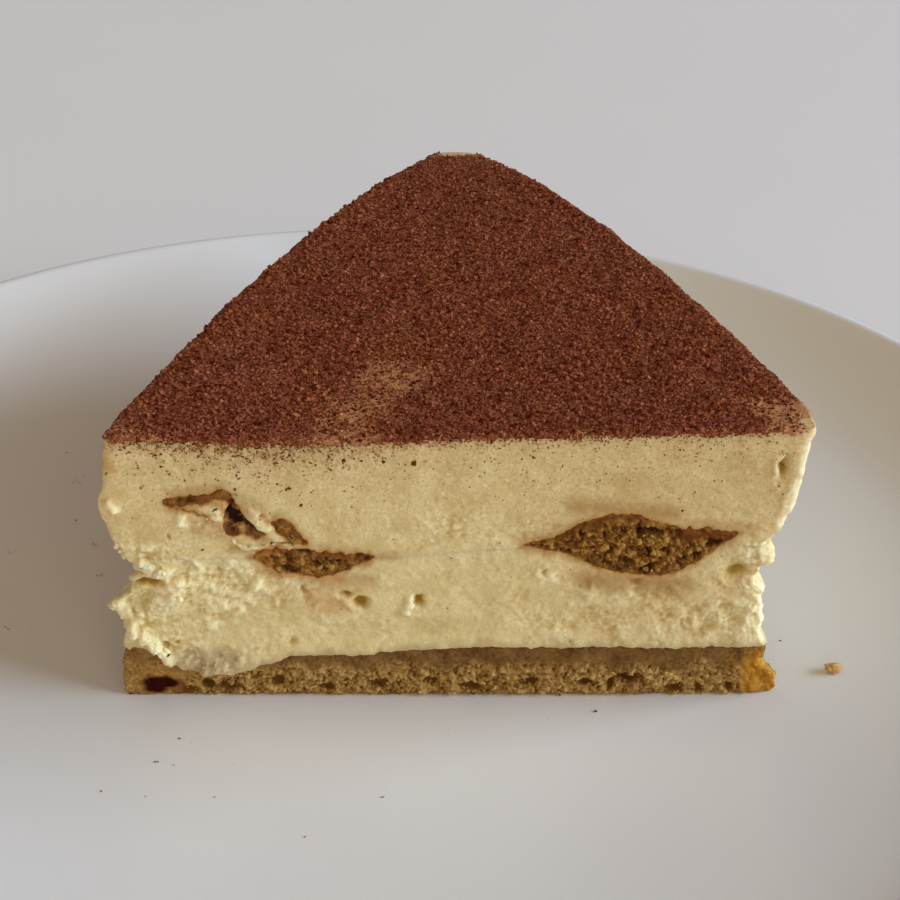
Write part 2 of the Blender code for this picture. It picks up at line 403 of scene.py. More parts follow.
def wallProfile(height, under, over):
    # even rows up the wall between the rows that turn inwards under and over it; the outermost
    # steps are tiny, so that the shading keeps the wall's slope up to its edges
    rows = round(height / wedge["step"])
    shares = [0, 0.003] + [i / rows for i in range(1, rows)] + [0.997, 1]
    return under + [(share, 0) for share in shares] + over


outline, outlineFacing = planOutline()

view = {"lens": 96, "back": 291.1, "up": 218.4, "sideways": 1.1, "down": 31.0}

camera = bpy.data.objects.new("camera", bpy.data.cameras.new("camera"))
bpy.context.scene.collection.objects.link(camera)
camera.data.lens = view["lens"]
camera.data.sensor_width = 36
camera.data.clip_start = 0.01
camera.location = toFrame(-view["sideways"], -view["back"], view["up"])
camera.rotation_euler = (math.radians(90 - view["down"]), 0, 0)
bpy.context.scene.camera = camera

# cut sections of the ladyfingers, as (u, lowest w, highest w)
wholeFinger = [(9.6, 27.2, 27.6), (12, 26.7, 28.3), (14.5, 26.3, 29.0), (17, 25.3, 30.8), (20, 23.6, 32.1),
               (23, 22.7, 32.9), (26, 22.1, 32.7), (29, 21.9, 31.3), (32, 22.7, 30.6), (35, 24.5, 30.4),
               (37.5, 26.9, 30.2), (40.4, 28.8, 29.6)]
brokenEnd = [(-29.6, 24.9, 26.0), (-28.0, 23.9, 26.9), (-26, 22.4, 27.0), (-24.5, 22.3, 26.7),
             (-23.2, 22.4, 27.0), (-21.6, 21.9, 26.9), (-20.5, 21.7, 26.2), (-18.5, 22.0, 26.2),
             (-17, 22.7, 26.2), (-15.3, 23.6, 25.9), (-13.8, 24.2, 26.1), (-12.3, 24.9, 25.7)]
brokenTop = [(-42.2, 34.1, 35.3), (-41, 33.9, 35.6), (-39.4, 33.8, 35.8), (-37.5, 34.3, 36.0),
             (-35.6, 34.7, 36.3), (-34.4, 34.9, 36.8), (-33.6, 35.0, 37.1), (-32.9, 34.2, 36.2),
             (-32.0, 33.6, 34.9), (-31.4, 33.2, 33.9)]
brokenFlap = [(-27.0, 30.5, 31.3), (-26.2, 29.6, 31.8), (-24.9, 28.4, 31.9), (-24.1, 27.8, 31.3),
              (-23.3, 27.6, 30.0), (-22.5, 27.4, 28.7), (-21.7, 27.4, 27.7)]
# the dark gap that the broken ladyfinger left
gap = [(-34.0, 30.4, 31.4), (-33.4, 29.3, 33.6), (-32.7, 28.9, 34.7), (-31.9, 28.9, 34.0),
       (-31.0, 29.2, 32.6), (-30.3, 28.8, 31.4), (-29.4, 28.2, 30.8), (-28.6, 28.3, 30.0),
       (-27.9, 28.8, 29.4)]
cutSections = (wholeFinger, brokenEnd, brokenTop, brokenFlap)
# the broken ladyfinger as it runs on behind the cut face
brokenStrip = [(-41.8, 33.8, 35.4), (-37, 32.6, 35.6), (-32, 29.0, 32.8), (-27, 25.6, 28.8),
               (-22, 22.6, 26.6), (-17, 22.6, 26.2), (-12.7, 24.2, 25.0)]


def sectionAt(table, u):
    # lowest and highest w of a finger at a place across the cut face
    for (left, leftLow, leftHigh), (right, rightLow, rightHigh) in zip(table, table[1:]):
        if left <= u <= right:
            share = (u - left) / (right - left)
            return mix(leftLow, rightLow, share), mix(leftHigh, rightHigh, share)
    return None


def insideFinger(table, u, w):
    # how far (mm) a place lies inside a finger's section, below 0 outside
    span = sectionAt(table, u)
    if span:
        return min(w - span[0], span[1] - w)
    end, low, high = table[0] if u < table[0][0] else table[-1]
    return -math.hypot(u - end, w - (low + high) / 2)


def insideAny(tables, u, w):
    return max(insideFinger(table, u, w) for table in tables)


cream = {
    "hollow": 2.6,  # how far the cream draws back where a ladyfinger fills it
    "gapDepth": 1.5,
    # curdy places on the cut face: (u, w), radii, how rough
    "rough": [((-45, 17), (5, 8), 0.9), ((-38, 21), (8, 4.5), 0.75), ((-29, 18), (10, 5), 0.4),
              ((-46, 24), (3.5, 2.5), 0.9), ((-37, 7), (7, 2.8), 0.75), ((-1, 30), (8, 4), 0.5),
              ((12, 30), (6, 3), 0.2), ((43, 15), (4, 6), 0.75), ((41, 31), (4, 4), 0.3),
              ((43.5, 24), (4, 4), 0.9), ((14, 22), (7, 4), 0.35), ((33, 15), (9, 5), 0.6),
              ((16, 13), (9, 4), 0.35), ((41, 18), (4, 5), 0.5), ((-34, 31), (5, 4), 0.45),
              ((47, 39), (2, 6), 0.5), ((-44, 10), (3, 2), 0.8), ((47.5, 12), (2, 5), 0.6)],
    # small holes, painted dark inside as their shade: (u, w), radii, depth
    "pits": [((-14.3, 17.3), (1.2, 1.0), 1.1), ((-16.3, 18.7), (1.0, 0.45), 0.9),
             ((-22.6, 19.6), (0.45, 0.8), 0.6), ((-45.5, 20.7), (2.7, 0.65), 1.2),
             ((-5.7, 17.5), (1.0, 1.0), 1.0), ((46.2, 40.4), (0.65, 1.5), 1.0),
             ((40.8, 22.4), (1.6, 1.6), 1.0), ((26, 20.9), (0.9, 0.5), 0.5), ((12.7, 22.8), (0.5, 0.5), 0.5),
             ((-43.4, 9.2), (0.55, 0.9), 0.9), ((-41.6, 10.1), (0.35, 0.45), 0.5),
             ((-41.8, 28.9), (0.25, 0.5), 0.4), ((-47.7, 15.5), (0.4, 0.8), 0.4),
             ((-24.5, 10.2), (0.7, 0.8), 0.25)],
    # curds that stand out: from, to, width, height, how white
    "ridges": [((-7.5, 15.6), (-7.0, 18.0), 0.6, 0.5, 0.8), ((45.2, 39.0), (45.4, 42.0), 0.55, 0.2, 0.5),
               ((-29.7, 20.3), (-29.4, 20.8), 0.75, 0.8, 1), ((-47.1, 22.4), (-46.2, 23.8), 0.7, 1.4, 1),
               ((-45.2, 22.9), (-44.9, 23.4), 0.5, 0.8, 1), ((-43.5, 22.6), (-42.3, 22.9), 0.7, 1.1, 1),
               ((-41.9, 20.2), (-40.4, 20.8), 0.8, 1.0, 1), ((-42.2, 18.3), (-41, 19.4), 0.6, 0.8, 1),
               ((-38.3, 23.9), (-38.1, 24.3), 0.4, 0.4, 0.8), ((-40.0, 31.2), (-39.8, 32.2), 0.7, 0.6, 1),
               ((-46.4, 10.9), (-44.9, 9.8), 0.9, 1.2, 1), ((-44.8, 9.4), (-43.0, 6.9), 0.9, 1.2, 1),
               ((-48.2, 13.0), (-47.9, 11.6), 0.6, 0.9, 0.9), ((-48.9, 6.6), (-48.6, 8.4), 0.5, 0.6, 0.7),
               ((-37.6, 4.9), (-35.2, 5.6), 0.8, 0.9, 0.2), ((-32.8, 6.4), (-32.2, 7.2), 0.55, 0.7, 0.3),
               ((-29.7, 33.0), (-27.9, 30.5), 0.8, 0.35, 0.9), ((-27.0, 30.0), (-25.9, 28.3), 0.8, 0.2, 0.75),
               ((-28.6, 30.7), (-27.2, 30.3), 0.6, 0.5, 1), ((-36.8, 33.6), (-34.6, 33.3), 0.6, 0.2, 0.5),
               ((-17.2, 18.2), (-15.4, 16.3), 0.5, 0.2, 0.35), ((-25.6, 21.2), (-25.0, 21.5), 0.5, 0.3, 0.6),
               ((-50.2, 34.6), (-49.5, 33.6), 0.6, 0.5, 0.7), ((-35.5, 19.6), (-33.5, 19.0), 0.6, 0.3, 0.6),
               ((-36, 16.3), (-34, 16.6), 0.7, 0.3, 0.6), ((-32.6, 15.5), (-31.8, 16.2), 0.6, 0.3, 0.6),
               ((50.0, 45), (49.0, 38), 1.1, 0.12, 1), ((48.8, 38), (46.8, 31), 1.1, 0.15, 1),
               ((45.0, 24), (45.2, 11), 0.9, 0.12, 1), ((42.6, 20), (43.2, 11), 2.2, 0.05, 0.6),
               ((-50.0, 34.3), (-49.2, 33.7), 0.7, 0.3, 1), ((-51.0, 17.2), (-49.6, 16.9), 0.7, 0.5, 1)],
    # orange stains: from, to, width, strength (above a half it is brown)
    "stains": [((-21.6, 18.2), (-17.0, 16.9), 1.5, 0.45), ((-20, 16.6), (-16.5, 16.6), 1.7, 0.42),
               ((-29.0, 22.8), (-26.5, 22.2), 0.6, 0.4), ((-49.9, 41.6), (-49.3, 40.4), 1.1, 0.42),
               ((-50.2, 35.2), (-49.6, 31.5), 1.3, 0.3), ((31, 15), (35, 13), 2.6, 0.2),
               ((-20, 21.4), (-17, 21.6), 0.8, 0.5), ((-40.5, 33.6), (-38.2, 33.2), 0.45, 0.85),
               ((-38.4, 33.3), (-36.0, 32.2), 0.5, 0.8), ((-28.2, 32.4), (-27.4, 31.6), 0.4, 0.75),
               ((-27.5, 31.5), (-26.6, 31.0), 0.4, 0.9), ((-34.1, 35.2), (-33.8, 32.8), 0.45, 0.75),
               ((-30.4, 29.2), (-28.2, 28.3), 0.5, 0.8), ((-29.2, 25.5), (-26.4, 27.3), 0.7, 0.5),
               ((-36.5, 30.8), (-35.0, 31.4), 0.3, 0.35)],
    # brownish veils: from, to, width, strength
    "veils": [((17, 34.0), (31, 32.8), 1.8, 0.75), ((19, 21.4), (33, 20.6), 2.4, 0.85),
              ((24, 20.3), (30, 19.8), 2.0, 0.5), ((33, 31.4), (42, 30.4), 1.0, 0.6),
              ((-22, 21.0), (-13, 21.6), 1.5, 0.6), ((-41.5, 36.2), (-33.4, 37.2), 1.0, 0.65),
              ((-32.2, 35.6), (-28.6, 33.6), 1.2, 0.5), ((-12, 25.4), (-9, 25.6), 1.1, 0.7),
              ((-36, 31.6), (-33.9, 29.8), 0.9, 0.7), ((-32.5, 26.8), (-29, 26.2), 1.0, 0.5),
              ((9, 28), (15, 30.6), 1.0, 0.5), ((-27.5, 28.2), (-27.0, 28.0), 0.6, 0.6),
              ((-38, 30.0), (-33.5, 28.8), 0.9, 0.5), ((-31.5, 33.8), (-30.0, 32.6), 0.8, 0.6),
              ((-28.5, 27.0), (-25, 27.0), 0.6, 0.6), ((-50, 44), (-50, 40), 1.6, 0.2)],
    # cracks: from, to, width, depth; each is dented in and painted near black as painted shade
    "cracks": [((-35.3, 33.5), (-34.7, 33.9), 0.12, 0.2), ((-27.0, 27.5), (-25.4, 27.75), 0.18, 0.6),
               ((-25.4, 27.75), (-24.0, 27.6), 0.13, 0.4), ((-31.9, 27.2), (-31.5, 26.9), 0.2, 0.4),
               ((-43.3, 8.0), (-43.1, 8.0), 0.22, 0.5), ((-36.9, 30.9), (-36.6, 31.0), 0.14, 0.3)],
    "yellow": [((9.5, 18.3), (1.6, 1.8), 0.9), ((4, 19), (3.5, 2.4), 0.35), ((-4, 20), (4, 1.4), 0.25),
               ((-27, 16), (5, 2.2), 0.5), ((24, 38), (2.2, 1.8), 0.4), ((41.5, 21), (2.2, 3), 0.6),
               ((33, 17.5), (2, 1.0), 0.5), ((-2, 13), (12, 2), 0.35), ((-14.3, 19.6), (2.6, 0.8), 0.55),
               ((47.2, 36), (1.2, 8), 0.35), ((-47.6, 12), (0.8, 1.2), 0.5), ((-48.4, 36.2), (1.3, 1.1), 0.6),
               ((-46, 31), (2, 3), 0.4)],
}
# how dark the gap is: from, to, width, strength
gapShade = [((-32.9, 33.4), (-31.7, 31.3), 0.95, 1.0), ((-30.5, 30.7), (-29.1, 29.8), 0.55, 0.6),
            ((-33.0, 30.4), (-32.6, 29.6), 0.5, 0.3)]
creamMarks = ("grainy", "curd", "stain", "dust", "hollow", "dark", "soak", "grey")


def creamRelief(u, v, w):
    onFront = onCut(v)
    rough = 0.08 + 0.13 * smooth((27 - w) / 5) + (1 - onFront) * (0.15 + 0.3 * smooth((27 - w) / 4))
    if onFront > 0:
        for place, radii, amount in cream["rough"]:
            rough += onFront * amount * spot(u, w, place, radii)
    rough = clamp(rough * (0.8 + 0.9 * cloud(u, v, w, 4.2, 2, seed=21)), 0.04, 1.1)
    # the edges of the small features are torn
    tornU, tornW = u + 0.4 * cloud(u, v, w, 1.3, 2, seed=101), w + 0.35 * cloud(u, v, w, 1.1, 2, seed=103)
    big, bigFace = curdAt(u, v, w, 2.3, 4)
    small, smallFace = curdAt(u, v, w, 1.0, 9)
    fine, _ = curdAt(u, v, w, 0.55, 13)
    lump = 0.45 * big + 0.3 * small + 0.35 * fine
    offset = rough * (0.4 * big + 0.22 * small + 0.1 * fine - 0.16 * (1 - bigFace * smallFace) + 0.08)
    offset += 0.24 * cloud(u, v, w, 9, 2, seed=31) + 0.05 * cloud(u, v, w, 1.0, 2, seed=37)
    # the lumps that stand out most are painted whiter: partly the curds' own white, partly painted highlight
    curd = smooth((lump - 0.02) / 0.6) * smooth(rough / 0.75)
    # the creases between low lumps turn olive: partly the cream's yellower colour, partly painted shade
    hollow = 0.75 * smooth((-0.1 - lump) / 0.5) * smooth(rough / 0.6)
    curd = max(curd, 0.14 * smooth((27 - w) / 2))
    stain = dark = soak = white = 0.0
    if onFront > 0:
        # pits are dented in and painted dark olive: painted shade
        for place, radii, depth in cream["pits"]:
            pit = spot(tornU, tornW, place, radii, 1.6) * onFront
            offset -= depth * pit
            hollow = max(hollow, pit * (1 + 0.6 * smooth((depth - 0.5) / 0.5)))
            curd *= 1 - pit
        for start, end, width, height, light in cream["ridges"]:
            ridge = smooth(1.3 * stroke(tornU, tornW, start, end, width)) * onFront
            offset += height * ridge * (1 + 0.3 * small)
            curd = max(curd, light * ridge)
            white = max(white, light * ridge)
            hollow *= 1 - ridge
        stain = strongest(stroke, cream["stains"], tornU, tornW) * onFront
        soak = strongest(stroke, cream["veils"], tornU, tornW) * onFront
        # the cracks are painted near black: painted shade
        for start, end, width, depth in cream["cracks"]:
            crack = stroke(tornU, tornW, start, end, width) * onFront
            offset -= depth * crack
            dark = max(dark, crack)
        hollow = max(hollow, strongest(spot, cream["yellow"], tornU, tornW) * onFront)
        inGap = insideFinger(gap, u + 0.3 * cloud(u, v, w, 2.2, 1, seed=101),
                             w + 0.5 * cloud(u, v, w, 1.8, 1, seed=105))
        # the gap is dented in and painted dark as its shade, ringed by a brown soaked stain
        if inGap > -0.8:
            deep = smooth((inGap + 0.3) / 1.0) * onFront
            shade = strongest(stroke, gapShade, tornU, tornW)
            crumbled = 0.9 * (lumps(u, v, w, 0.8, seed=44) - 0.5)
            offset -= (0.6 + (cream["gapDepth"] - 0.6) * shade - crumbled) * deep
            dark = max(dark, deep * (shade + 0.25 * cloud(u, v, w, 0.8, 2, seed=46)))
            brown = 0.95 - 0.5 * spot(u, w, (-31.2, 29.9), (0.5, 0.5))
            stain = max(stain, smooth((inGap + 0.6) / 0.7) * brown * onFront)
            curd *= 1 - deep
        sections = cutSections
    else:
        sections = (wholeFinger, brokenStrip)
    inside = insideAny(sections, tornU, tornW)
    creep = cloud(u, v, w, 1.1, 2, seed=49)
    offset -= cream["hollow"] * smooth((inside - 0.2 + 0.6 * creep) / 0.6)
    halo = 0.6 * smooth((inside + 0.8 + 0.7 * creep) / 0.8) * (1 - 0.7 * white)
    stain = max(stain, halo + 0.3 * smooth((inside + 0.1) / 0.4))
    curd *= 1 - smooth((inside + 0.6) / 0.6)
    uneven = 0.75 + 0.6 * cloud(u, v, w, 2.0, 2, seed=58)
    soak = max(soak, 0.13 * smooth((u - 4) / 18),
               0.95 * (1 - 0.8 * white) * smooth((inside + 2.3) / 2.5) * uneven)
    dusty = mix(0.45, 1.0, smooth((10 - u) / 16))  # the left half caught more of the powder
    dust = dusty * smooth((w - creamTop(u, v) + 2.4 + 1.2 * cloud(u, v, w, 2.2, 2, seed=53)) / 2.2)
    dust += (0.13 * smooth((w - 32) / 10) + 0.15 * smooth((w - 26) / 3)
             + 0.5 * onFront * spot(u, w, (-25, 43), (15, 3.2)))
    overBase = smooth((baseTop(u, v) + 1.7 + 0.9 * cloud(u, v, w, 2.5, 2, seed=57) - w) / 2.0)
    soak = max(soak, 0.3 * overBase)
    patchy = clamp(0.85 + 0.5 * cloud(u, v, w, 1.2, 2, seed=59))
    grey = smooth(1.5 * spot(u, w, (-37, 6.4), (5.6, 2.6))) * onFront * patchy
    grey = max(grey, 0.6 * overBase * smooth((u + 44) / 6))
    stain = clamp(stain * (0.9 + 0.35 * cloud(u, v, w, 2.0, 2, seed=51)))
    return offset, {"grainy": clamp(rough), "curd": curd * (1 - 0.7 * grey), "stain": stain,
                    "dust": clamp(dust), "hollow": hollow * (1 - grey), "dark": dark,
                    "soak": clamp(soak), "grey": grey}


creamPaint = Paint("mascarpone cream", Subsurface_Weight=0.35, Subsurface_Scale=0.0016,
                   Subsurface_Radius=(1.0, 0.78, 0.45), IOR=1.4, Specular_IOR_Level=0.3)
mottle = creamPaint.noise(3.5, 3)
middleMottle = creamPaint.noise(1.3, 3)
fineMottle = creamPaint.noise(0.5, 2)
tone = creamPaint.blend(creamPaint.step(mottle, 0.35, 0.7), (0.73, 0.595, 0.285), (0.83, 0.71, 0.372))
tone = creamPaint.blend(creamPaint.step(middleMottle, 0.5, 0.72) * 0.6, tone, (0.92, 0.81, 0.47))
tone = creamPaint.blend(creamPaint.step(fineMottle, 0.45, 0.75) * 0.5, tone, (0.62, 0.48, 0.20))
grainy = creamPaint.mark("grainy") * 1.2
# the fine curd grain also raises the bump below, and paints its raised specks lighter and low ones darker:
# partly grain colour, partly painted light and shade
curdGrain = creamPaint.noise(0.75, 2)
tone = creamPaint.blend((creamPaint.step(curdGrain, 0.5, 0.66) * grainy).clamped() * 0.7, tone,
                        (0.98, 0.90, 0.58))
tone = creamPaint.blend((creamPaint.step(curdGrain, 0.48, 0.34) * grainy).clamped() * 0.45, tone,
                        (0.60, 0.44, 0.16))
# hollow: olive in the creases and yellower places, partly painted shade; darkest in the pits, painted shade
tone = creamPaint.blend((creamPaint.mark("hollow") * 0.9).clamped(), tone, (0.53, 0.35, 0.075))
tone = creamPaint.blend(creamPaint.step(creamPaint.mark("hollow"), 0.9, 1.6) * 0.9, tone,
                        (0.33, 0.195, 0.012))
# curd: white curds, partly painted highlight on the raised lumps
tone = creamPaint.blend(creamPaint.mark("curd") * 0.9, tone, (0.96, 0.88, 0.56))
tone = creamPaint.blend(creamPaint.mark("dust") * (0.42 + 0.6 * creamPaint.step(fineMottle, 0.4, 0.7)), tone,
                        (0.44, 0.245, 0.105))
tone = creamPaint.blend(creamPaint.mark("grey") * (0.5 + 0.5 * middleMottle), tone, (0.44, 0.34, 0.21))
tone = creamPaint.blend(creamPaint.mark("soak") * (0.6 + 0.5 * middleMottle), tone, (0.40, 0.20, 0.05))
stain = creamPaint.mark("stain") * (0.75 + 0.5 * creamPaint.noise(0.9, 3))
tone = creamPaint.blend(creamPaint.step(stain, 0.02, 0.55) * 0.85, tone, (0.58, 0.32, 0.10))
tone = creamPaint.blend(creamPaint.step(stain, 0.5, 0.9), tone, (0.17, 0.058, 0.012))
# painted shade: near black in the cracks and in the gap
tone = creamPaint.blend(creamPaint.step(creamPaint.mark("dark") + fineMottle * 0.4, 0.35, 0.8), tone,
                        (0.030, 0.006, 0.002))
creamNormal = creamPaint.bump(creamPaint.noise(0.4, 3, 0.6) + curdGrain * grainy * 2, 0.14, 0.6)
creamMaterial = creamPaint.finish(tone, 0.55 + 0.2 * mottle, creamNormal)

# light would leak through pieces as small as loose curds, so theirs has no depth
curdPaint = Paint("loose curds", IOR=1.4, Specular_IOR_Level=0.3)
tone = curdPaint.blend(curdPaint.mark("curd"), (0.80, 0.67, 0.34), (0.98, 0.89, 0.56))
tone = curdPaint.blend(curdPaint.step(curdPaint.mark("grey"), 0.1, 0.3), tone, (0.54, 0.43, 0.28))
curdMaterial = curdPaint.finish(tone, 0.6, curdPaint.bump(curdPaint.noise(0.4, 3, 0.6), 0.12, 0.5))


def makeCream():
    shape = bendWall(wallProfile(wedge["seam"] - wedge["baseTop"], [(0, 3), (0, 1)], [(1, 1), (1, 3)]),
                     baseTop, seamAt, creamRelief, creamMarks)
    makePiece("cream_lower", shape, creamMaterial, ["mascarpone_lower"])
    over = [(1, 0.25), (1, 0.7), (1, 1.5), (1, 3), (1, 5), (0.94, 8)]
    shape = bendWall(wallProfile(wedge["creamTop"] - wedge["seam"], [(0, 3), (0, 1)], over),
                     seamAt, creamTop, creamRelief, creamMarks)
    makePiece("cream_upper", shape, creamMaterial, ["mascarpone_upper"])


makeCream()

biscuit = {
    "bandBottom": 4.3,  # the soaked, smooth upper part reaches down to here
    # big holes in the crumb, painted darker as their shade: (u, w), radii, depth
    "pits": [((25.6, 3.2), (1.7, 0.9), 2.0), ((19.1, 2.6), (1.0, 0.7), 1.3), ((22.9, 2.0), (0.5, 1.1), 1.1),
             ((32.6, 1.4), (1.6, 0.7), 1.1), ((36.4, 1.4), (0.5, 0.7), 0.8), ((-37.4, 2.2), (0.9, 0.9), 1.1),
             ((-34.4, 1.9), (1.4, 1.3), 1.2), ((-27, 2.8), (1.0, 0.7), 0.8), ((-12, 2.4), (1.5, 0.6), 0.8),
             ((2, 1.8), (1.8, 0.6), 0.9), ((10.5, 2.6), (1.4, 0.6), 0.9), ((-4, 2.9), (1.0, 0.5), 0.7),
             ((-19.5, 1.7), (1.2, 0.6), 0.7), ((40.8, 1.8), (0.5, 0.8), 0.8),
             ((-40.3, 1.2), (1.3, 0.7), 0.5)],
    "burnt": [((-44.6, 2.5), (3.0, 1.2), 1.6), ((-45.4, 1.4), (1.9, 1.0), 1.3),
              ((-41.0, 1.0), (2.2, 1.0), 0.62), ((-48.2, 8.2), (1.4, 1.0), 0.35)],
    "golden": [((44.6, 4.2), (2.3, 5.4), 1.0), ((47, 2.6), (2.2, 2.8), 1.0), ((41.2, 6.5), (1.8, 1.8), 0.4),
               ((-44, 4.3), (4.2, 0.9), 0.35), ((-47.3, 3.6), (1.2, 0.8), 0.4)],
}
biscuitMarks = ("wet", "crumb", "burnt", "golden")


def biscuitRelief(u, v, w):
    onFront = onCut(v)
    wet = smooth((w - biscuit["bandBottom"] - 1.5 * cloud(u, v, w, 3.5, 2, seed=61)) / 2.6)
    left = onFront * smooth((-u - 38.2 + 0.8 * cloud(u, v, w, 2.0, 2, seed=65)) / 1.5)
    calm, wet = max(wet, 0.85 * left), wet * (1 - 0.6 * left)
    # the crumb value sets both the height and the tone, so raised crumbs are lighter and creases darker:
    # partly the crumb's own tone, partly painted shade
    crumb = (0.28 * lumps(u, v, w, 2.1, seed=14) + 0.36 * lumps(u, v, w, 1.0, seed=19)
             + 0.36 * lumps(u, v, w, 0.5, seed=23))
    burnt = golden = 0.0
    tornU, tornW = u + 0.3 * cloud(u, v, w, 1.6, 2, seed=107), w + 0.2 * cloud(u, v, w, 1.4, 2, seed=109)
    if v < 6:
        golden = strongest(spot, biscuit["golden"], tornU, tornW, 1.3) * smooth((7 - v) / 4)
    if onFront > 0:
        burnt = strongest(spot, biscuit["burnt"], tornU, tornW, 1.5) * onFront
    loose = mix(1.0, 0.3, max(calm, 0.6 * golden, 0.7 * clamp(burnt)))
    offset = loose * 1.1 * (crumb - 0.56) + 0.35 * cloud(u, v, w, 4, 2, seed=67)
    if golden > 0.1:
        block, face = curdAt(u, v, w, 2.2, 71)
        offset += golden * (0.12 * block - 0.05 * (1 - face))
    if onFront > 0:
        # pits are dented in and their crumb painted darker: painted shade
        for place, radii, depth in biscuit["pits"]:
            pit = spot(tornU, tornW, place, radii, 1.5) * onFront
            offset -= depth * pit
            crumb *= 1 - pit
    offset -= 0.5 * smooth((0.8 - w) / 0.8) + 0.35
    return offset, {"wet": wet, "crumb": mix(0.6, crumb, loose), "burnt": burnt, "golden": golden}


biscuitPaint = Paint("soaked biscuit", Subsurface_Weight=0.05, Subsurface_Scale=0.001, IOR=1.4,
                     Specular_IOR_Level=0.12)
grain = biscuitPaint.noise(0.5, 3, 0.6)
patch = biscuitPaint.noise(3, 3)
# the grain also raises the bump, so raised crumbs paint lighter and low ones darker: partly crumb tone,
# partly painted light and shade
crumbTone = biscuitPaint.mark("crumb") + (grain - 0.5) * 1.0 + (patch - 0.5) * 0.5
dry = biscuitPaint.blend(biscuitPaint.step(crumbTone, 0.28, 0.62), (0.130, 0.059, 0.011),
                         (0.372, 0.218, 0.062))
dry = biscuitPaint.blend(biscuitPaint.step(crumbTone, 0.62, 0.95), dry, (0.56, 0.38, 0.15))
soaked = biscuitPaint.blend(biscuitPaint.step(patch * 0.6 + grain * 0.4, 0.36, 0.64), (0.100, 0.042, 0.010),
                            (0.190, 0.095, 0.028))
tone = biscuitPaint.blend(biscuitPaint.mark("wet") * 0.8, dry, soaked)
golden = biscuitPaint.blend(biscuitPaint.step(biscuitPaint.noise(1.6, 3), 0.35, 0.65), (0.40, 0.165, 0.008),
                            (0.56, 0.30, 0.05))
tone = biscuitPaint.blend(biscuitPaint.step(biscuitPaint.mark("golden") + (grain - 0.5) * 0.5, 0.1, 1.0),
                          tone, golden)
burnt = biscuitPaint.mark("burnt")
tone = biscuitPaint.blend(biscuitPaint.step(burnt, 0.1, 0.5) * 0.6, tone, (0.17, 0.045, 0.010))
tone = biscuitPaint.blend(biscuitPaint.step(burnt + (grain - 0.5) * 0.5, 0.35, 1.1), tone,
                          (0.030, 0.002, 0.0006))
biscuitMaterial = biscuitPaint.finish(tone, 0.8 - 0.15 * biscuitPaint.mark("wet"),
                                      biscuitPaint.bump(grain, 0.25, 0.5))


def makeBiscuit():
    shape = bendWall(wallProfile(wedge["baseTop"], [(0, 3), (0, 1)], [(1, 1), (1, 3)]), baseBottom, baseTop,
                     biscuitRelief, biscuitMarks)
    makePiece("biscuit_base_crumb", shape, biscuitMaterial, ["biscuit_base"])


makeBiscuit()

finger = {"gap": 0.23, "capRows": 11, "proud": 0.15, "tuckedIn": 0.5, "sideBehind": 0.6,
          "amber": ((-27.9, 25.2), (2.2, 2.0)),
          "plain": [((-37, 34.8), (7, 4), 0.9), ((-24.4, 29.4), (2.6, 2.6), 0.45)]}
fingerMarks = ("skin", "crumb", "dark", "amber")

fingerPaint = Paint("soaked ladyfinger", Subsurface_Weight=0.05, Subsurface_Scale=0.001, IOR=1.4,
                    Specular_IOR_Level=0.3)
grain = fingerPaint.noise(0.5, 3, 0.6)
# the grain also raises the bump, so it paints raised crumbs lighter and low ones darker: partly the sponge's
# own tone, partly painted light and shade
crumbTone = fingerPaint.mark("crumb") + (grain - 0.5) * 1.1 + (fingerPaint.noise(1.6, 2) - 0.5) * 1.0
tone = fingerPaint.blend(fingerPaint.step(crumbTone, 0.22, 0.6), (0.060, 0.018, 0.002), (0.205, 0.082, 0.009))
tone = fingerPaint.blend(fingerPaint.step(crumbTone, 0.58, 0.95), tone, (0.47, 0.27, 0.055))
tone = fingerPaint.blend(fingerPaint.mark("skin") * (0.6 + 0.6 * grain), tone, (0.165, 0.046, 0.006))
tone = fingerPaint.blend(fingerPaint.mark("amber") * (0.5 + 0.7 * grain), tone, (0.40, 0.185, 0.036))
# painted shade: near black in the sponge's deep holes
tone = fingerPaint.blend(fingerPaint.mark("dark"), tone, (0.030, 0.007, 0.002))
fingerMaterial = fingerPaint.finish(tone, 0.75, fingerPaint.bump(grain, 0.3, 0.6))


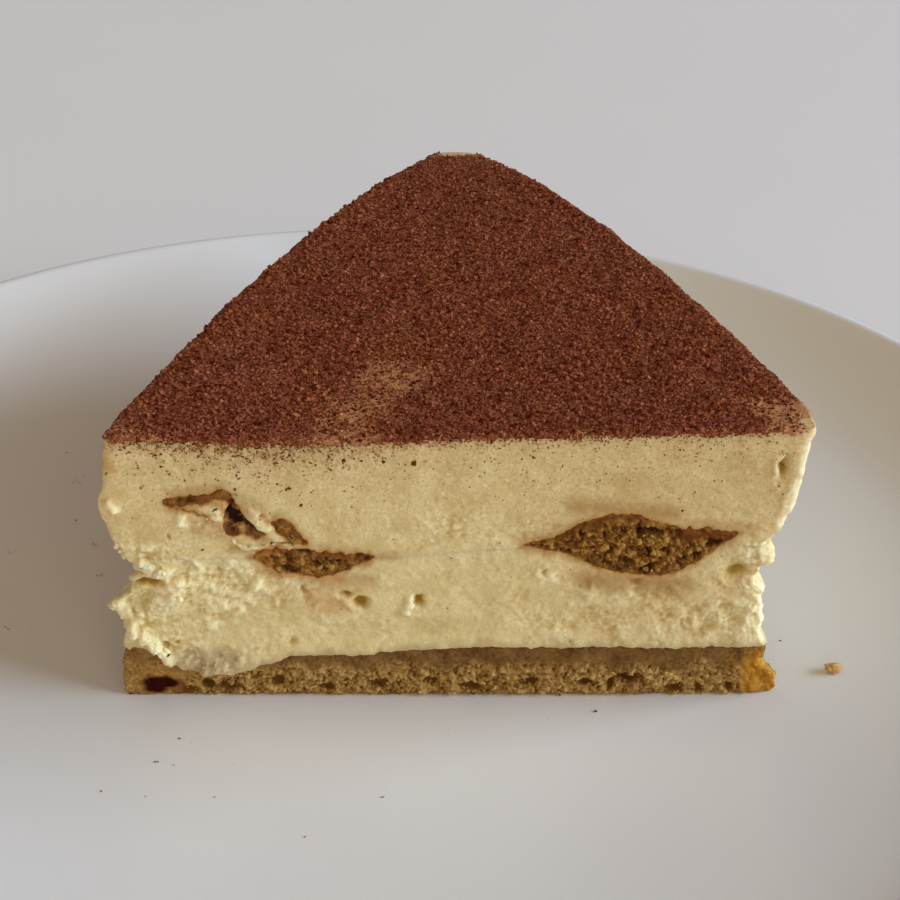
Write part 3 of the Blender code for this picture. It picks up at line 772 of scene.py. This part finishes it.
def fingerRelief(u, v, w, span, shadedHoles):
    # the crumb value sets both the height and the tone, and the holes sink and darken it: partly the sponge's
    # own tone, partly painted shade
    crumb = (0.32 * lumps(u, v, w, 1.6, seed=24) + 0.36 * lumps(u, v, w, 0.85, seed=29)
             + 0.32 * lumps(u, v, w, 0.45, seed=33))
    hole = smooth((cloud(u, v, w, 1.7, 2, seed=81) - 0.3) / 0.22)
    tornU, tornW = u + 0.4 * cloud(u, v, w, 1.2, 2, seed=83), w + 0.4 * cloud(u, v, w, 1.2, 2, seed=85)
    # deep holes, dented in and painted near black: painted shade
    dark = strongest(spot, shadedHoles, tornU, tornW, 1.6)
    below, above = tornW - span[0], span[1] - tornW
    onFront = 1.0 if v < 1.5 else 0.0
    onTop = 1.0 if u < 0 or not onFront else spot(u, 0, (21, 0), (9, 1), 2)
    skin = max(strongest(spot, finger["plain"], u, w, 2) * onFront, onTop * smooth((1.4 - above) / 0.9),
               0.9 * onFront * smooth((u - 30.5) / 3) * smooth((tornW - 27.9) / 1.2))
    rim = smooth((0.5 - min(below, 1.4 * above)) / 0.5)  # the cream creeps over the edge of the sponge
    broken = 0.15 * onFront if u < 0 else 0
    amber = max(onFront * spot(tornU, tornW, *finger["amber"], 1.5), 0.9 * rim, broken)
    inner = 1 - 0.85 * max(0.8 * skin, 0.6 * amber)
    offset = inner * (0.9 * (crumb - 0.55) - 0.8 * hole) - 2.4 * dark
    offset -= finger["tuckedIn"] * (1 - smooth(min(below, above) / 0.5))
    light = 0.10 * onFront if u < 0 else 0.0
    return offset, {"skin": skin * (1 - 0.6 * amber), "dark": dark, "amber": amber,
                    "crumb": clamp(crumb * (1 - 0.8 * hole * inner) + light)}


def addFinger(shape, layers, table, depth, shadedHoles=(), start=0.0):
    # a flat grid rolled round the section: its rows spread from the middle line to the rim
    # and then run back
    leftEnd, rightEnd = table[0][0], table[-1][0]
    wallSide = 1 if rightEnd > 0 else -1
    columns = round((rightEnd - leftEnd) / finger["gap"])
    capRows = finger["capRows"]
    rows = capRows + max(round(depth / 0.6), 3)
    made = bmesh.ops.create_grid(shape, x_segments=2 * columns, y_segments=rows, size=0.5)["verts"]
    for vert in made:
        column = round((vert.co.x + 0.5) * 2 * columns)
        row = round((vert.co.y + 0.5) * rows)
        share = column / columns if column <= columns else 2 - column / columns
        u = mix(leftEnd, rightEnd, mix(share, smooth(share), 0.25))
        span = sectionAt(table, clamp(u, leftEnd + 0.01, rightEnd - 0.01))
        w = mix((span[0] + span[1]) / 2, span[0] if column <= columns else span[1], min(row / capRows, 1))
        v = start - finger["proud"]
        values = {"skin": 1.0, "crumb": 0.5, "dark": 0.0, "amber": 0.0}
        if row <= capRows:
            offset, values = fingerRelief(u, 0, w, span, shadedHoles)
            v -= offset
        else:
            v = mix(start + 1.4, start + depth, (row - capRows - 1) / (rows - capRows - 1))
            wall = halfWidth(v) - sideInset(wallSide, v, w) - finger["sideBehind"]
            if u * wallSide > wall:
                # the side shows the section where the wall cuts it
                edge = sectionAt(table, clamp(wall * wallSide, leftEnd + 0.01, rightEnd - 0.01))
                offset, values = fingerRelief(u, v, w, edge, ())
                u = wallSide * (wall + offset)
        vert.co = toFrame(u, v, w)
        for mark, value in values.items():
            vert[layers[mark]] = value


def makeFinger(name, node, parts):
    shape = bmesh.new()
    layers = {mark: shape.verts.layers.float.new(mark) for mark in fingerMarks}
    for part in parts:
        addFinger(shape, layers, *part)
    closeRims(shape)
    makePiece(name, shape, fingerMaterial, [node])


def reach(table):
    # where a finger that runs straight back leaves the slice through its side
    inner = min(abs(table[0][0]), abs(table[-1][0]))
    return next(v for v in range(int(wedge["length"])) if halfWidth(v) - 4 < inner + 0.5)


# each finger's deep holes, painted near black as their shade: (u, w), radii, strength
makeFinger("ladyfinger_whole", "ladyfinger_right", [
    (wholeFinger, reach(wholeFinger),
     [((27.2, 29.7), (1.9, 0.5), 1.0), ((27.4, 26.4), (0.6, 0.6), 0.9), ((28.3, 23.7), (0.7, 0.45), 0.9),
      ((34.6, 25.9), (0.5, 0.35), 0.8), ((24.9, 24.3), (0.5, 0.4), 0.6), ((21.8, 24.4), (0.7, 0.3), 0.5)])])
makeFinger("ladyfinger_broken", "ladyfinger_left", [
    (brokenStrip, reach(brokenStrip) - 3.2, (), 3.2),
    (brokenEnd, 3.0, [((-22.3, 26.5), (1.0, 0.35), 1.0), ((-24.8, 23.3), (0.9, 0.6), 0.6),
                      ((-14.0, 25.1), (1.1, 0.7), 0.5), ((-20.5, 24.2), (0.6, 0.4), 0.5),
                      ((-18, 24.6), (0.8, 0.3), 0.4), ((-26.3, 25.0), (0.4, 0.5), 0.5)]),
    (brokenTop, 2.5, [((-38.3, 35.0), (0.8, 0.4), 0.35), ((-40, 35.0), (0.7, 0.3), 0.3),
                      ((-32.6, 34.5), (0.7, 0.5), 0.6)]),
    (brokenFlap, 2.5)])

# thin torn skins that stand out beside the broken ladyfinger: their line on the cut face,
# how far they stand out, how much they droop and how light they are
flaps = {
    "lines": [([(-32.6, 28.5), (-31.6, 27.6), (-30.2, 27.3), (-28.6, 27.45), (-27.4, 27.7)], 0.8, 0.2, 0.75),
              ([(-26.9, 27.6), (-25.6, 27.8), (-24.0, 27.7)], 0.5, 0.1, 0.4),
              ([(-29.6, 32.2), (-28.7, 31.0), (-27.7, 30.2), (-27.0, 30.3)], 0.7, -0.3, 0.9)],
    "thickness": 0.22,
}


def makeFlaps():
    shape = bmesh.new()
    curd, stain = shape.verts.layers.float.new("curd"), shape.verts.layers.float.new("stain")
    for line, out, droop, light in flaps["lines"]:
        made = bmesh.ops.create_grid(shape, x_segments=28, y_segments=5, size=0.5)["verts"]
        for vert in made:
            along, across = (vert.co.x + 0.5) * (len(line) - 1), vert.co.y + 0.5
            leg = min(int(along), len(line) - 2)
            u = mix(line[leg][0], line[leg + 1][0], along - leg)
            w = mix(line[leg][1], line[leg + 1][1], along - leg)
            width = math.sin(math.pi * clamp(vert.co.x + 0.5)) ** 0.4
            width *= 0.8 + 0.7 * cloud(u, 0, w, 0.9, 2, seed=111)
            u += 0.25 * across * cloud(u, across, w, 1.0, 2, seed=113)
            w += -droop * across ** 2 + 0.3 * across * cloud(u, across, w, 0.8, 2, seed=115)
            vert[curd] = light * (0.6 + 0.5 * across)
            vert[stain] = 0.9 * smooth(cloud(u, across, w, 0.9, 2, seed=117) + 0.5) * (1 - light * 0.6)
            vert.co = toFrame(u, 0.8 - (0.8 + out * width) * across, w)
    bmesh.ops.recalc_face_normals(shape, faces=shape.faces)
    bmesh.ops.solidify(shape, geom=shape.faces[:], thickness=flaps["thickness"] * mm)
    bmesh.ops.recalc_face_normals(shape, faces=shape.faces)
    makePiece("torn_skins", shape, creamMaterial)


makeFlaps()

cocoa = {
    "step": 0.34,  # between the points of the layer
    "spill": 0.8,  # how far it reaches past the edge of the cream
    "thin": ((-17.5, 1.5), (-8.5, 18.0), 5.2),  # a bare-looking streak: from, to, width
    "bareFrom": 0.6,  # the layer ends where the bareness is more than this
    "skirtIn": 0.9,  # its rim is drawn in and down into the cream by this much
    "skirtDown": 0.5,
    "clumps": {"count": 11500, "sizes": (0.28, 0.56)},
    "grains": {"count": 14000, "sizes": (0.16, 0.3)},
    "spilt": 2600,
}

topEdge = numpy.array([(drawnIn(u, v, wedge["cocoaTop"]), v) for u, v in outline])
topFacing = numpy.array(outlineFacing)


def overEdge(u, v):
    # how far a place lies outside the plan of the slice, in mm, and which way is out
    away = numpy.array((u, v)) - topEdge
    nearest = int((away * away).sum(axis=1).argmin())
    return float(away[nearest] @ topFacing[nearest]), Vector(topFacing[nearest])


def thinness(u, v):
    # 0 under a full dusting, 1 where only a film of it lies on the cream
    thin = 0.85 * stroke(u, v, *cocoa["thin"]) + 0.3 * smooth((1.6 - v) / 1.6)
    thin += 0.6 * smooth((-u - 41 - v * 0.8) / 5) + 0.25 * spot(u, v, (-42, 36), (3, 3))
    thin += 1.1 * smooth((u - 42.2 + 0.3 * v) / 4) * smooth((10 - v) / 4)
    thin += 0.5 * smooth((v - wedge["length"] + 5) / 2.5) * smooth((7 - abs(u - 0.5)) / 3)
    return clamp(thin + 0.45 * cloud(u, v, 0, 5, 3, seed=121) - 0.1)


def bareness(u, v):
    # 1 where the cream is bare: the right front corner, the tip and a nick in the left edge
    corner = smooth((u - 48.3 + 0.3 * v + 0.9 * cloud(u, v, 0, 1.2, 2, seed=123)) / 1.6) * smooth((5 - v) / 3)
    tip = smooth((v - wedge["length"] + 3.4 + 0.7 * cloud(u, v, 0, 1.5, 2, seed=125)) / 1.2)
    tip *= smooth((4.6 - abs(u - 0.5)) / 3.4)
    nick = smooth(1.4 * spot(u, v, (-47.2, 25.5), (1.2, 1.2)))
    return max(corner, tip, nick)


def cocoaTone(paint, share):
    # dark to light powder, whose tint drifts a little over the slice
    drift = paint.step(paint.noise(11, 3), 0.36, 0.62)
    light = paint.blend(drift, (0.36, 0.114, 0.056), (0.375, 0.122, 0.051))
    return paint.blend(share, (0.082, 0.0085, 0.0016), light)


cocoaPaint = Paint("cocoa powder", IOR=1.4, Specular_IOR_Level=0.1)
# the fleck noise raises the bump and lightens the tone together, so low flecks are painted dark: partly
# powder tone, partly painted shade between the grains
fleck = cocoaPaint.noise(0.42, 3, 0.6)
tone = cocoaTone(cocoaPaint, cocoaPaint.step(fleck, 0.36, 0.72))
showing = cocoaPaint.step(cocoaPaint.noise(0.33, 2) + cocoaPaint.mark("thin") * 0.35, 0.58, 0.74)
tone = cocoaPaint.blend(showing, tone, (0.46, 0.215, 0.090))
cocoaMaterial = cocoaPaint.finish(tone, 0.95, cocoaPaint.bump(fleck, 0.3, 0.9))

grainPaint = Paint("cocoa grains", IOR=1.4, Specular_IOR_Level=0.1)
tone = cocoaTone(grainPaint, grainPaint.mark("tone"))
tone = grainPaint.blend(grainPaint.step(grainPaint.mark("tone"), 1.05, 1.6), tone, (0.50, 0.235, 0.10))
grainMaterial = grainPaint.finish(tone, 0.95)

speckPaint = Paint("damp cocoa specks", IOR=1.4, Specular_IOR_Level=0.1)
tone = speckPaint.blend(speckPaint.mark("tone"), (0.115, 0.042, 0.005), (0.36, 0.18, 0.045))
speckMaterial = speckPaint.finish(tone, 0.9)


def makeCocoa():
    step = cocoa["step"]
    half, length = wedge["frontHalf"] + 2.2, wedge["length"] + 4
    shape = bmesh.new()
    bmesh.ops.create_grid(shape, x_segments=round(2 * half / step), y_segments=round(length / step), size=0.5)
    thinLayer = shape.verts.layers.float.new("thin")
    outside = []
    for vert in shape.verts:
        u, v = vert.co.x * 2 * half, (vert.co.y + 0.5) * length - 2
        over, out = overEdge(u, v)
        ragged = 1.7 if v < 1 else 0.4
        spill = cocoa["spill"] * (0.35 + ragged * cloud(u, v, 0, 2.2, 3, seed=91)) + 0.25
        spill -= 0.9 * smooth((v - wedge["length"] + 16) / 12)
        bare = bareness(u, v)
        if over > spill or bare > cocoa["bareFrom"]:
            outside.append(vert)
            continue
        thin = thinness(u, v)
        thick = 0.2 * cloud(u, v, 0, 1.0, 2, seed=95) + 0.14 * noise.random() * (1 - 0.5 * thin)
        thick += 0.22 * cloud(u, v, 0, 5, 2, seed=97)
        sink = 0.75 * smooth(bare / 0.55)  # it thins out to nothing round a bare spot
        if over > -0.5:
            turn = max(over + 0.5, 0)
            drop = turn - 0.35 if turn > 0.7 else 0.5 * turn * turn
            u, v = u - out.x * (max(over, 0) - 0.12), v - out.y * (max(over, 0) - 0.12)
            vert.co = toFrame(u + out.x * thick * 0.5, v + out.y * thick * 0.5,
                              cocoaTop(u, v) + thick * 0.5 - drop - sink)
        else:
            vert.co = toFrame(u, v, cocoaTop(u, v) + thick * (1 - 0.6 * thin) - sink)
        vert[thinLayer] = thin
    bmesh.ops.delete(shape, geom=outside, context="VERTS")
    bmesh.ops.delete(shape, geom=[v for v in shape.verts if len(v.link_edges) < 2], context="VERTS")
    rims = [edge for edge in shape.edges if edge.is_boundary]
    skirt = bmesh.ops.extrude_edge_only(shape, edges=rims)["geom"]
    middle = toFrame(0, 40, 0)
    for vert in skirt:
        if isinstance(vert, bmesh.types.BMVert):
            inward = Vector((middle.x - vert.co.x, middle.y - vert.co.y, 0)).normalized()
            vert.co += inward * cocoa["skirtIn"] * mm - Vector((0, 0, cocoa["skirtDown"] * mm))
    makePiece("cocoa_dusting", shape, cocoaMaterial, ["cocoa_layer"])


noise.seed_set(7)
makeCocoa()


def scatter(name, spots, paint, seed, rounded=False, dent=0.25):
    # spots are (u, v, w, size, depth, tone), with a tone below 0 for a grey curd;
    # every copy is turned, stretched and dented on its own
    rng = numpy.random.default_rng(seed)
    shape = bmesh.new()
    bmesh.ops.create_cube(shape, size=1.0)
    if rounded:
        bmesh.ops.subdivide_edges(shape, edges=shape.edges, cuts=1, use_grid_fill=True)
        for vert in shape.verts:
            vert.co = vert.co.normalized() * 0.55
    bmesh.ops.triangulate(shape, faces=shape.faces)
    corners = numpy.array([v.co for v in shape.verts])
    faces = numpy.array([[v.index for v in f.verts] for f in shape.faces])
    shape.free()
    spots = numpy.array(spots, dtype=float)
    count = len(spots)
    turn = rng.normal(size=(count, 4))
    a, b, c, d = (turn / numpy.linalg.norm(turn, axis=1)[:, None]).T
    matrix = numpy.stack([1 - 2 * (c * c + d * d), 2 * (b * c - a * d), 2 * (b * d + a * c),
                          2 * (b * c + a * d), 1 - 2 * (b * b + d * d), 2 * (c * d - a * b),
                          2 * (b * d - a * c), 2 * (c * d + a * b), 1 - 2 * (b * b + c * c)], axis=1)
    stretch = rng.uniform(0.7, 1.3, (count, 1, 3))
    dents = rng.uniform(1 - dent, 1 + dent, (count, len(corners), 1))
    points = numpy.einsum("nij,nkj->nki", matrix.reshape(count, 3, 3), corners[None] * stretch * dents)
    points *= spots[:, None, 3:4]
    points[:, :, 1] *= spots[:, None, 4]
    points = (points + spots[:, None, :3]) * mm + numpy.array(sliceOrigin)
    faces = faces[None] + numpy.arange(count)[:, None, None] * len(corners)
    mesh = bpy.data.meshes.new(name)
    mesh.from_pydata(points.reshape(-1, 3), [], faces.reshape(-1, 3))
    for mark, light in (("tone", 1), ("crumb", 1), ("curd", 1), ("grey", -1)):
        values = mesh.attributes.new(mark, "FLOAT", "POINT").data
        shares = numpy.repeat(numpy.maximum(spots[:, 5] * light, 0), len(corners))
        values.foreach_set("value", shares.astype(numpy.float32))
    mesh.update()
    return settle(name, mesh, paint, flat=not rounded)


def onCutFace(u, w, relief):
    offset, _ = relief(u, 0, w)
    return drawnIn(u, 0, w), -offset


def topGrains(count, sizes, seed):
    rng = random.Random(seed)
    spots = []
    while len(spots) < count:
        v = wedge["length"] * (1 - math.sqrt(rng.random())) * 1.02 - 0.4
        u = rng.uniform(-1, 1) * (halfWidth(max(v, 0)) + 0.3)
        over, out = overEdge(u, v)
        thin, bare = thinness(u, v), bareness(u, v)
        nearTip = smooth((v - wedge["length"] + 14) / 10)
        if over > 0.3 - 0.8 * nearTip or rng.random() < max(0.2 * thin, 0.95 * bare):
            continue
        size = rng.uniform(*sizes) * (1 - 0.3 * thin) * (1 - 0.35 * nearTip)
        w = cocoaTop(u, v) + 0.02 + 0.2 * cloud(u, v, 0, 5, 2, seed=97) - max(over, 0) - 0.45 * bare
        tone = 0.44 + 0.25 * cloud(u, v, 0, 1.3, 2, seed=127)
        # above 1 the grain is one of the pale ones that lie where the powder is thin
        pale = 1.7 * thin * rng.random() ** 1.3 * (rng.random() < 0.55)
        spots.append((u, v, w, size, 0.9, clamp(rng.gauss(tone - 0.3 * thin, 0.26) + 0.05 * nearTip) + pale))
    return spots


def edgeGrains(count, seed):
    # powder that fell over the edge of the cut face, dense at the top and thinning out downwards
    rng = random.Random(seed)
    spots = []
    for _ in range(count):
        u = rng.uniform(-49.5, 49)
        drop = rng.expovariate(1 / 0.5) - 0.2
        if drop > 3 or rng.random() < smooth((u - 38) / 10) * 0.8:
            continue
        w = cocoaTop(u, 0) - 0.35 - drop
        size = rng.uniform(0.1, 0.3) * (1 if drop < 0.8 else 0.7)
        spots.append((*onCutFace(u, w, creamRelief), w, size, 0.5, clamp(rng.gauss(0.6, 0.3))))
    return spots


def faceSpecks(seed):
    rng = random.Random(seed)
    places = []
    # how many, where across (middle and spread, or None for everywhere), how far down they reach, largest
    for count, across, reach, largest in ((1100, (-29, 9), 2.6, 0.30), (800, None, 4.6, 0.22),
                                          (260, None, 14, 0.18)):
        while count:
            u = rng.gauss(*across) if across else rng.uniform(-47, 48)
            w = 44.9 - rng.expovariate(1 / reach)
            if w > 10 and cloud(u, 0, w, 1.8, 2, seed=129) > rng.uniform(-0.35, 0.45):
                places.append((u, w, 0.07 + (largest - 0.07) * rng.random() ** 2.4, rng.uniform(0.0, 1.0)))
                count -= 1
    places += [(u, w, size, 0.0) for u, w, size in (
        (-16.2, 41.6, 0.5), (-13.6, 41.6, 0.34), (-10.6, 41.5, 0.36), (-6.2, 41.2, 0.55), (10.7, 42.3, 0.34),
        (-36.2, 43.3, 0.4), (-33.9, 43.6, 0.3), (5.2, 42.0, 0.2), (-22.3, 34.3, 0.34), (38, 38.3, 0.22),
        (-16.2, 36.5, 0.26), (-20.9, 36.4, 0.24), (32.7, 33.4, 0.26), (-15.2, 33.9, 0.2))]
    clear = [place for place in places if insideAny(cutSections, *place[:2]) < -0.3]
    return [(*onCutFace(u, w, creamRelief), w, size, 0.3, tone) for u, w, size, tone in clear]


def heaps(clusters, relief, seed, sunk=0.2):
    # lumps strewn over oval places of the cut face: (u, w), radii, how many, sizes, lightness
    rng = random.Random(seed)
    spots = []
    for place, radii, count, sizes, light in clusters:
        for _ in range(count):
            u, w = rng.gauss(place[0], radii[0] * 0.6), rng.gauss(place[1], radii[1] * 0.6)
            size = mix(*sizes, rng.random() ** 2)
            onBase = relief is creamRelief and w < baseTop(u, 0) + 0.6
            if w < 0 or abs(u) > wedge["frontHalf"] + 0.8 or onBase:
                continue
            surfaceU, surfaceV = onCutFace(u, w, relief)
            if relief is biscuitRelief and (u < -41.5 or u > 41 and rng.random() < 0.85):
                continue
            tone = clamp(rng.gauss(abs(light), 0.15)) * (1 if light > 0 else -1)
            spots.append((surfaceU, surfaceV + sunk * size, w, size, 0.8, tone))
    return spots


# (u, w), radii, how many, smallest and largest, lightness
curds = [((-46.6, 23.2), (0.8, 0.8), 5, (0.6, 1.5), 0.9), ((-49.9, 16.4), (0.8, 0.5), 6, (0.8, 1.5), 0.7),
         ((-49.3, 13.2), (0.5, 2.2), 8, (0.5, 1.2), 0.7), ((-45.6, 10.2), (1.0, 0.7), 5, (0.5, 1.2), 0.9),
         ((-43.6, 7.8), (0.7, 1.0), 5, (0.5, 1.2), 0.9), ((-37, 6.9), (4.0, 1.3), 20, (0.6, 1.6), -0.45),
         ((-41.5, 20), (1.0, 1.6), 5, (0.5, 1.2), 0.9), ((-49.8, 26.0), (0.5, 1.6), 6, (0.5, 1.1), 0.7),
         ((45.6, 25.3), (0.7, 1.2), 4, (0.9, 1.6), 0.8), ((0, 30), (8, 3.0), 16, (0.4, 1.0), 0.4),
         ((-7.0, 17), (0.5, 1.4), 4, (0.4, 1.0), 0.9), ((13.9, 23.6), (0.3, 1.2), 5, (0.3, 0.6), 0.8),
         ((-38, 16), (8, 4.5), 24, (0.3, 0.9), 0.5), ((-36, 31), (1.6, 1.4), 8, (0.3, 0.8), 0.6),
         ((-28.4, 31.4), (0.8, 1.2), 5, (0.3, 0.8), 0.95)]
baseCrumbs = [((0, 1.6), (52, 1.2), 230, (0.25, 0.75), 0.55), ((30.5, 3.7), (2.4, 1.4), 18, (0.4, 1.1), 0.8),
              ((-20, 3.3), (20, 1.2), 50, (0.25, 0.65), 0.6), ((22, 4.0), (6, 0.8), 20, (0.4, 0.9), 0.75),
              ((47.2, 1.0), (0.8, 0.6), 4, (0.4, 0.9), 0.8), ((-33, 2.4), (3, 1.4), 26, (0.4, 1.0), 0.7)]
fingerCrumbs = [((26.9, 28.1), (0.5, 0.9), 9, (0.4, 0.9), 0.95),
                ((29.4, 26.6), (0.6, 0.7), 7, (0.4, 0.8), 0.9),
                ((26, 26.4), (6.5, 2.8), 70, (0.3, 0.9), 0.7),
                ((28.4, 23.0), (0.9, 0.4), 7, (0.4, 0.8), 0.9),
                ((20.5, 28), (3.5, 2.0), 30, (0.3, 0.7), 0.6),
                ((-20, 24.2), (4.5, 1.4), 34, (0.3, 0.7), 0.5),
                ((-27, 25), (1.6, 1.0), 10, (0.3, 0.7), 0.45),
                ((-24.8, 30.2), (1.4, 1.2), 9, (0.3, 0.6), 0.4)]


def fingerFace(u, v, w):
    table = next((table for table in cutSections if sectionAt(table, u)), brokenEnd)
    span = sectionAt(table, u) or (w - 1, w + 1)
    offset, values = fingerRelief(u, v, w, span, ())
    return offset + finger["proud"], values


scatter("cocoa_clumps", topGrains(**cocoa["clumps"], seed=1), grainMaterial, 1)
scatter("cocoa_grains", topGrains(**cocoa["grains"], seed=2), grainMaterial, 2)
scatter("cocoa_spill", edgeGrains(cocoa["spilt"], 3), grainMaterial, 3)
scatter("cocoa_specks", faceSpecks(4), speckMaterial, 4)
scatter("cream_curds", heaps(curds, creamRelief, 5, sunk=0.5), curdMaterial, 5, rounded=True,
        dent=0.4)
scatter("base_crumbs", heaps(baseCrumbs, biscuitRelief, 6), biscuitMaterial, 6, rounded=True,
        dent=0.45)
onSponge = [crumb for crumb in heaps(fingerCrumbs, fingerFace, 7, sunk=0.25)
            if insideAny((wholeFinger, brokenEnd, brokenFlap), crumb[0], crumb[2]) > 0.2]
scatter("finger_crumbs", onSponge, fingerMaterial, 7, rounded=True, dent=0.5)

glazePaint = Paint("white glaze", IOR=1.5)
soft = glazePaint.noise(30, 2)
tone = glazePaint.blend(soft * 0.5, (0.77, 0.77, 0.77), (0.74, 0.735, 0.73))
glaze = glazePaint.finish(tone, 0.2 + 0.08 * glazePaint.noise(14, 3),
                          glazePaint.bump(glazePaint.noise(18, 2), 0.25, 0.2))


def makePlate():
    radius, height, wall = plate["radius"], plate["height"], plate["wall"]
    half = wall / 2
    upper, lower = [], []
    for r in [*range(20, 90, 10), *range(90, 118, 2), lipAt]:
        z = plate["middleZ"] - half + dishRise(r)
        slope = math.atan((dishRise(r + 0.01) - dishRise(r - 0.01)) / 0.02)
        upper.append((r - half * math.sin(slope), z + half * math.cos(slope)))
        if r > plate["foot"] + 10:
            lower.append((r + half * math.sin(slope), z - half * math.cos(slope)))
    lip = [(radius - half + half * math.cos(a), height - half + half * math.sin(a))
           for a in (slope + math.pi / 2 - math.pi * i / 12 for i in range(1, 12))]
    under = plate["middleZ"] - wall
    foot, footHalf = plate["foot"], plate["footWidth"] / 2
    ring = [(foot + footHalf + under, under), (foot + footHalf + 0.7, 0.4), (foot + footHalf, 0),
            (foot - footHalf, 0), (foot - footHalf - 0.7, 0.4), (foot - footHalf - under, under)]
    section = [(0, plate["middleZ"])] + upper + lip + lower[::-1] + ring + [(0, under)]
    shape = bmesh.new()
    verts = [shape.verts.new((r * mm, 0, z * mm)) for r, z in section]
    edges = [shape.edges.new(pair) for pair in zip(verts, verts[1:])]
    bmesh.ops.spin(shape, geom=verts + edges, axis=(0, 0, 1), cent=(0, 0, 0), angle=2 * math.pi,
                   steps=plate["turns"], use_merge=True)
    bmesh.ops.remove_doubles(shape, verts=shape.verts, dist=0.02 * mm)
    bmesh.ops.recalc_face_normals(shape, faces=shape.faces)
    makePiece("coupe_plate", shape, glaze, ["plate"])


makePlate()

# what lies loose on the plate
fallen = {
    "crumb": (57.2, 4.8, 2.2),  # u, v and size
    "specks": [(-40.9, -10.0, 0.28), (-43.7, -15.6, 0.36), (-50.8, -22.5, 0.2), (-44.5, -23.6, 0.16),
               (-34.6, -23.6, 0.16), (-10.6, -23.6, 0.2), (-21.3, -32.3, 0.16), (20.6, -3.5, 0.3),
               (-41.2, -16.4, 0.14), (50.3, 13.4, 0.22)],
    # u and v only: powder strewn round a place
    "smudges": [(-73.5, 38.5), (-70.6, 17.7), (-65.2, 60.3), (-60.0, 41.8), (-58.0, 32.9)],
}


def makeFallenCrumb():
    u, v, size = fallen["crumb"]
    shape = bmesh.new()
    crumb = shape.verts.layers.float.new("crumb")
    bmesh.ops.create_icosphere(shape, subdivisions=4, radius=0.5)
    for vert in shape.verts:
        x, y, z = vert.co
        lump = lumps(x * size, y * size, z * size, 0.9, seed=131)
        swell = size * (0.85 + 0.35 * lump + 0.3 * cloud(x * size, y * size, z * size, 1.3, 2, seed=133))
        vert.co = toFrame(u + x * swell * 1.15, v + y * swell * 0.8,
                          baseBottom(u, v) + 0.33 * size + z * swell * 0.62)
        # the lumps that swell the crumb also lighten it: partly crumb tone, partly painted light
        vert[crumb] = 0.55 + 0.5 * lump
    floorZ = toFrame(0, 0, baseBottom(u, v)).z
    for vert in shape.verts:
        vert.co.z = max(vert.co.z, floorZ)
    makePiece("fallen_crumb", shape, crumbMaterial)


crumbPaint = Paint("dry biscuit crumb", Subsurface_Weight=0.05, Subsurface_Scale=0.001, IOR=1.4)
tone = crumbPaint.blend(crumbPaint.mark("crumb") * crumbPaint.noise(0.5, 2) * 1.6, (0.36, 0.17, 0.04),
                        (0.72, 0.46, 0.18))
crumbMaterial = crumbPaint.finish(tone, 0.8, crumbPaint.bump(crumbPaint.noise(0.3, 2), 0.15, 0.6))
makeFallenCrumb()


def fallenSpecks():
    rng = random.Random(8)
    spots = []
    # each as (u, v), how far its grains spread, how many and how large
    heaped = [(u, v, 0.4 * size, 2, size) for u, v, size in fallen["specks"]]
    heaped += [(u, v, 0.4, 12, 0.11) for u, v in fallen["smudges"]]
    heaped += [(rng.uniform(-52, 50), -rng.expovariate(1 / 9), 0, 1, 0.1) for _ in range(16)]
    heaped += [(-50 - rng.expovariate(1 / 8), rng.uniform(0, 60), 0, 1, 0.1) for _ in range(10)]
    for middleU, middleV, spread, count, size in heaped:
        for _ in range(count):
            u, v = middleU + rng.gauss(0, spread), middleV + rng.gauss(0, spread)
            one = size * rng.uniform(0.45, 0.8)
            spots.append((u, v, baseBottom(u, v) + one * 0.3, one, 1.0, rng.uniform(0.05, 0.5)))
    return spots


scatter("fallen_specks", fallenSpecks(), speckMaterial, 8)

studio = {"floor": (0.838, 0.816, 0.795), "floorShade": (0.757, 0.740, 0.733), "sky": (1.0, 0.763, 0.563),
          "skyStrength": 0.266,
          "window": {"from": (4.96, -0.295, 1.90), "size": (4.4, 2.5), "power": 440.0,
                     "colour": (0.69, 0.836, 1.0)},
          "room": {"from": (0.1, -1.2, 0.55), "size": (1.2, 0.8), "power": 4.9, "colour": (1.0, 0.82, 0.61)}}

bpy.ops.mesh.primitive_plane_add(size=6, location=(0, 0, -0.0005))
floor = bpy.context.object
floor.name = "floor"
floorPaint = Paint("pale table", IOR=1.4)
floorTone = floorPaint.blend(floorPaint.noise(60, 3) * 0.4, studio["floor"], studio["floorShade"])
floor.data.materials.append(floorPaint.finish(floorTone, 0.75))

world = bpy.data.worlds.new("studio")
bpy.context.scene.world = world
world.use_nodes = True
world.node_tree.nodes["Background"].inputs["Color"].default_value = (*studio["sky"], 1)
world.node_tree.nodes["Background"].inputs["Strength"].default_value = studio["skyStrength"]

for name in ("window", "room"):
    light = bpy.data.lights.new(name, "AREA")
    light.shape = "RECTANGLE"
    light.size, light.size_y = studio[name]["size"]
    light.energy = studio[name]["power"]
    light.color = studio[name]["colour"]
    lamp = bpy.data.objects.new(name, light)
    bpy.context.scene.collection.objects.link(lamp)
    lamp.location = studio[name]["from"]
    lamp.rotation_euler = (Vector((0.01, 0.03, 0.02)) - lamp.location).to_track_quat("-Z", "Y").to_euler()
bpy.context.scene.view_settings.view_transform = "Standard"
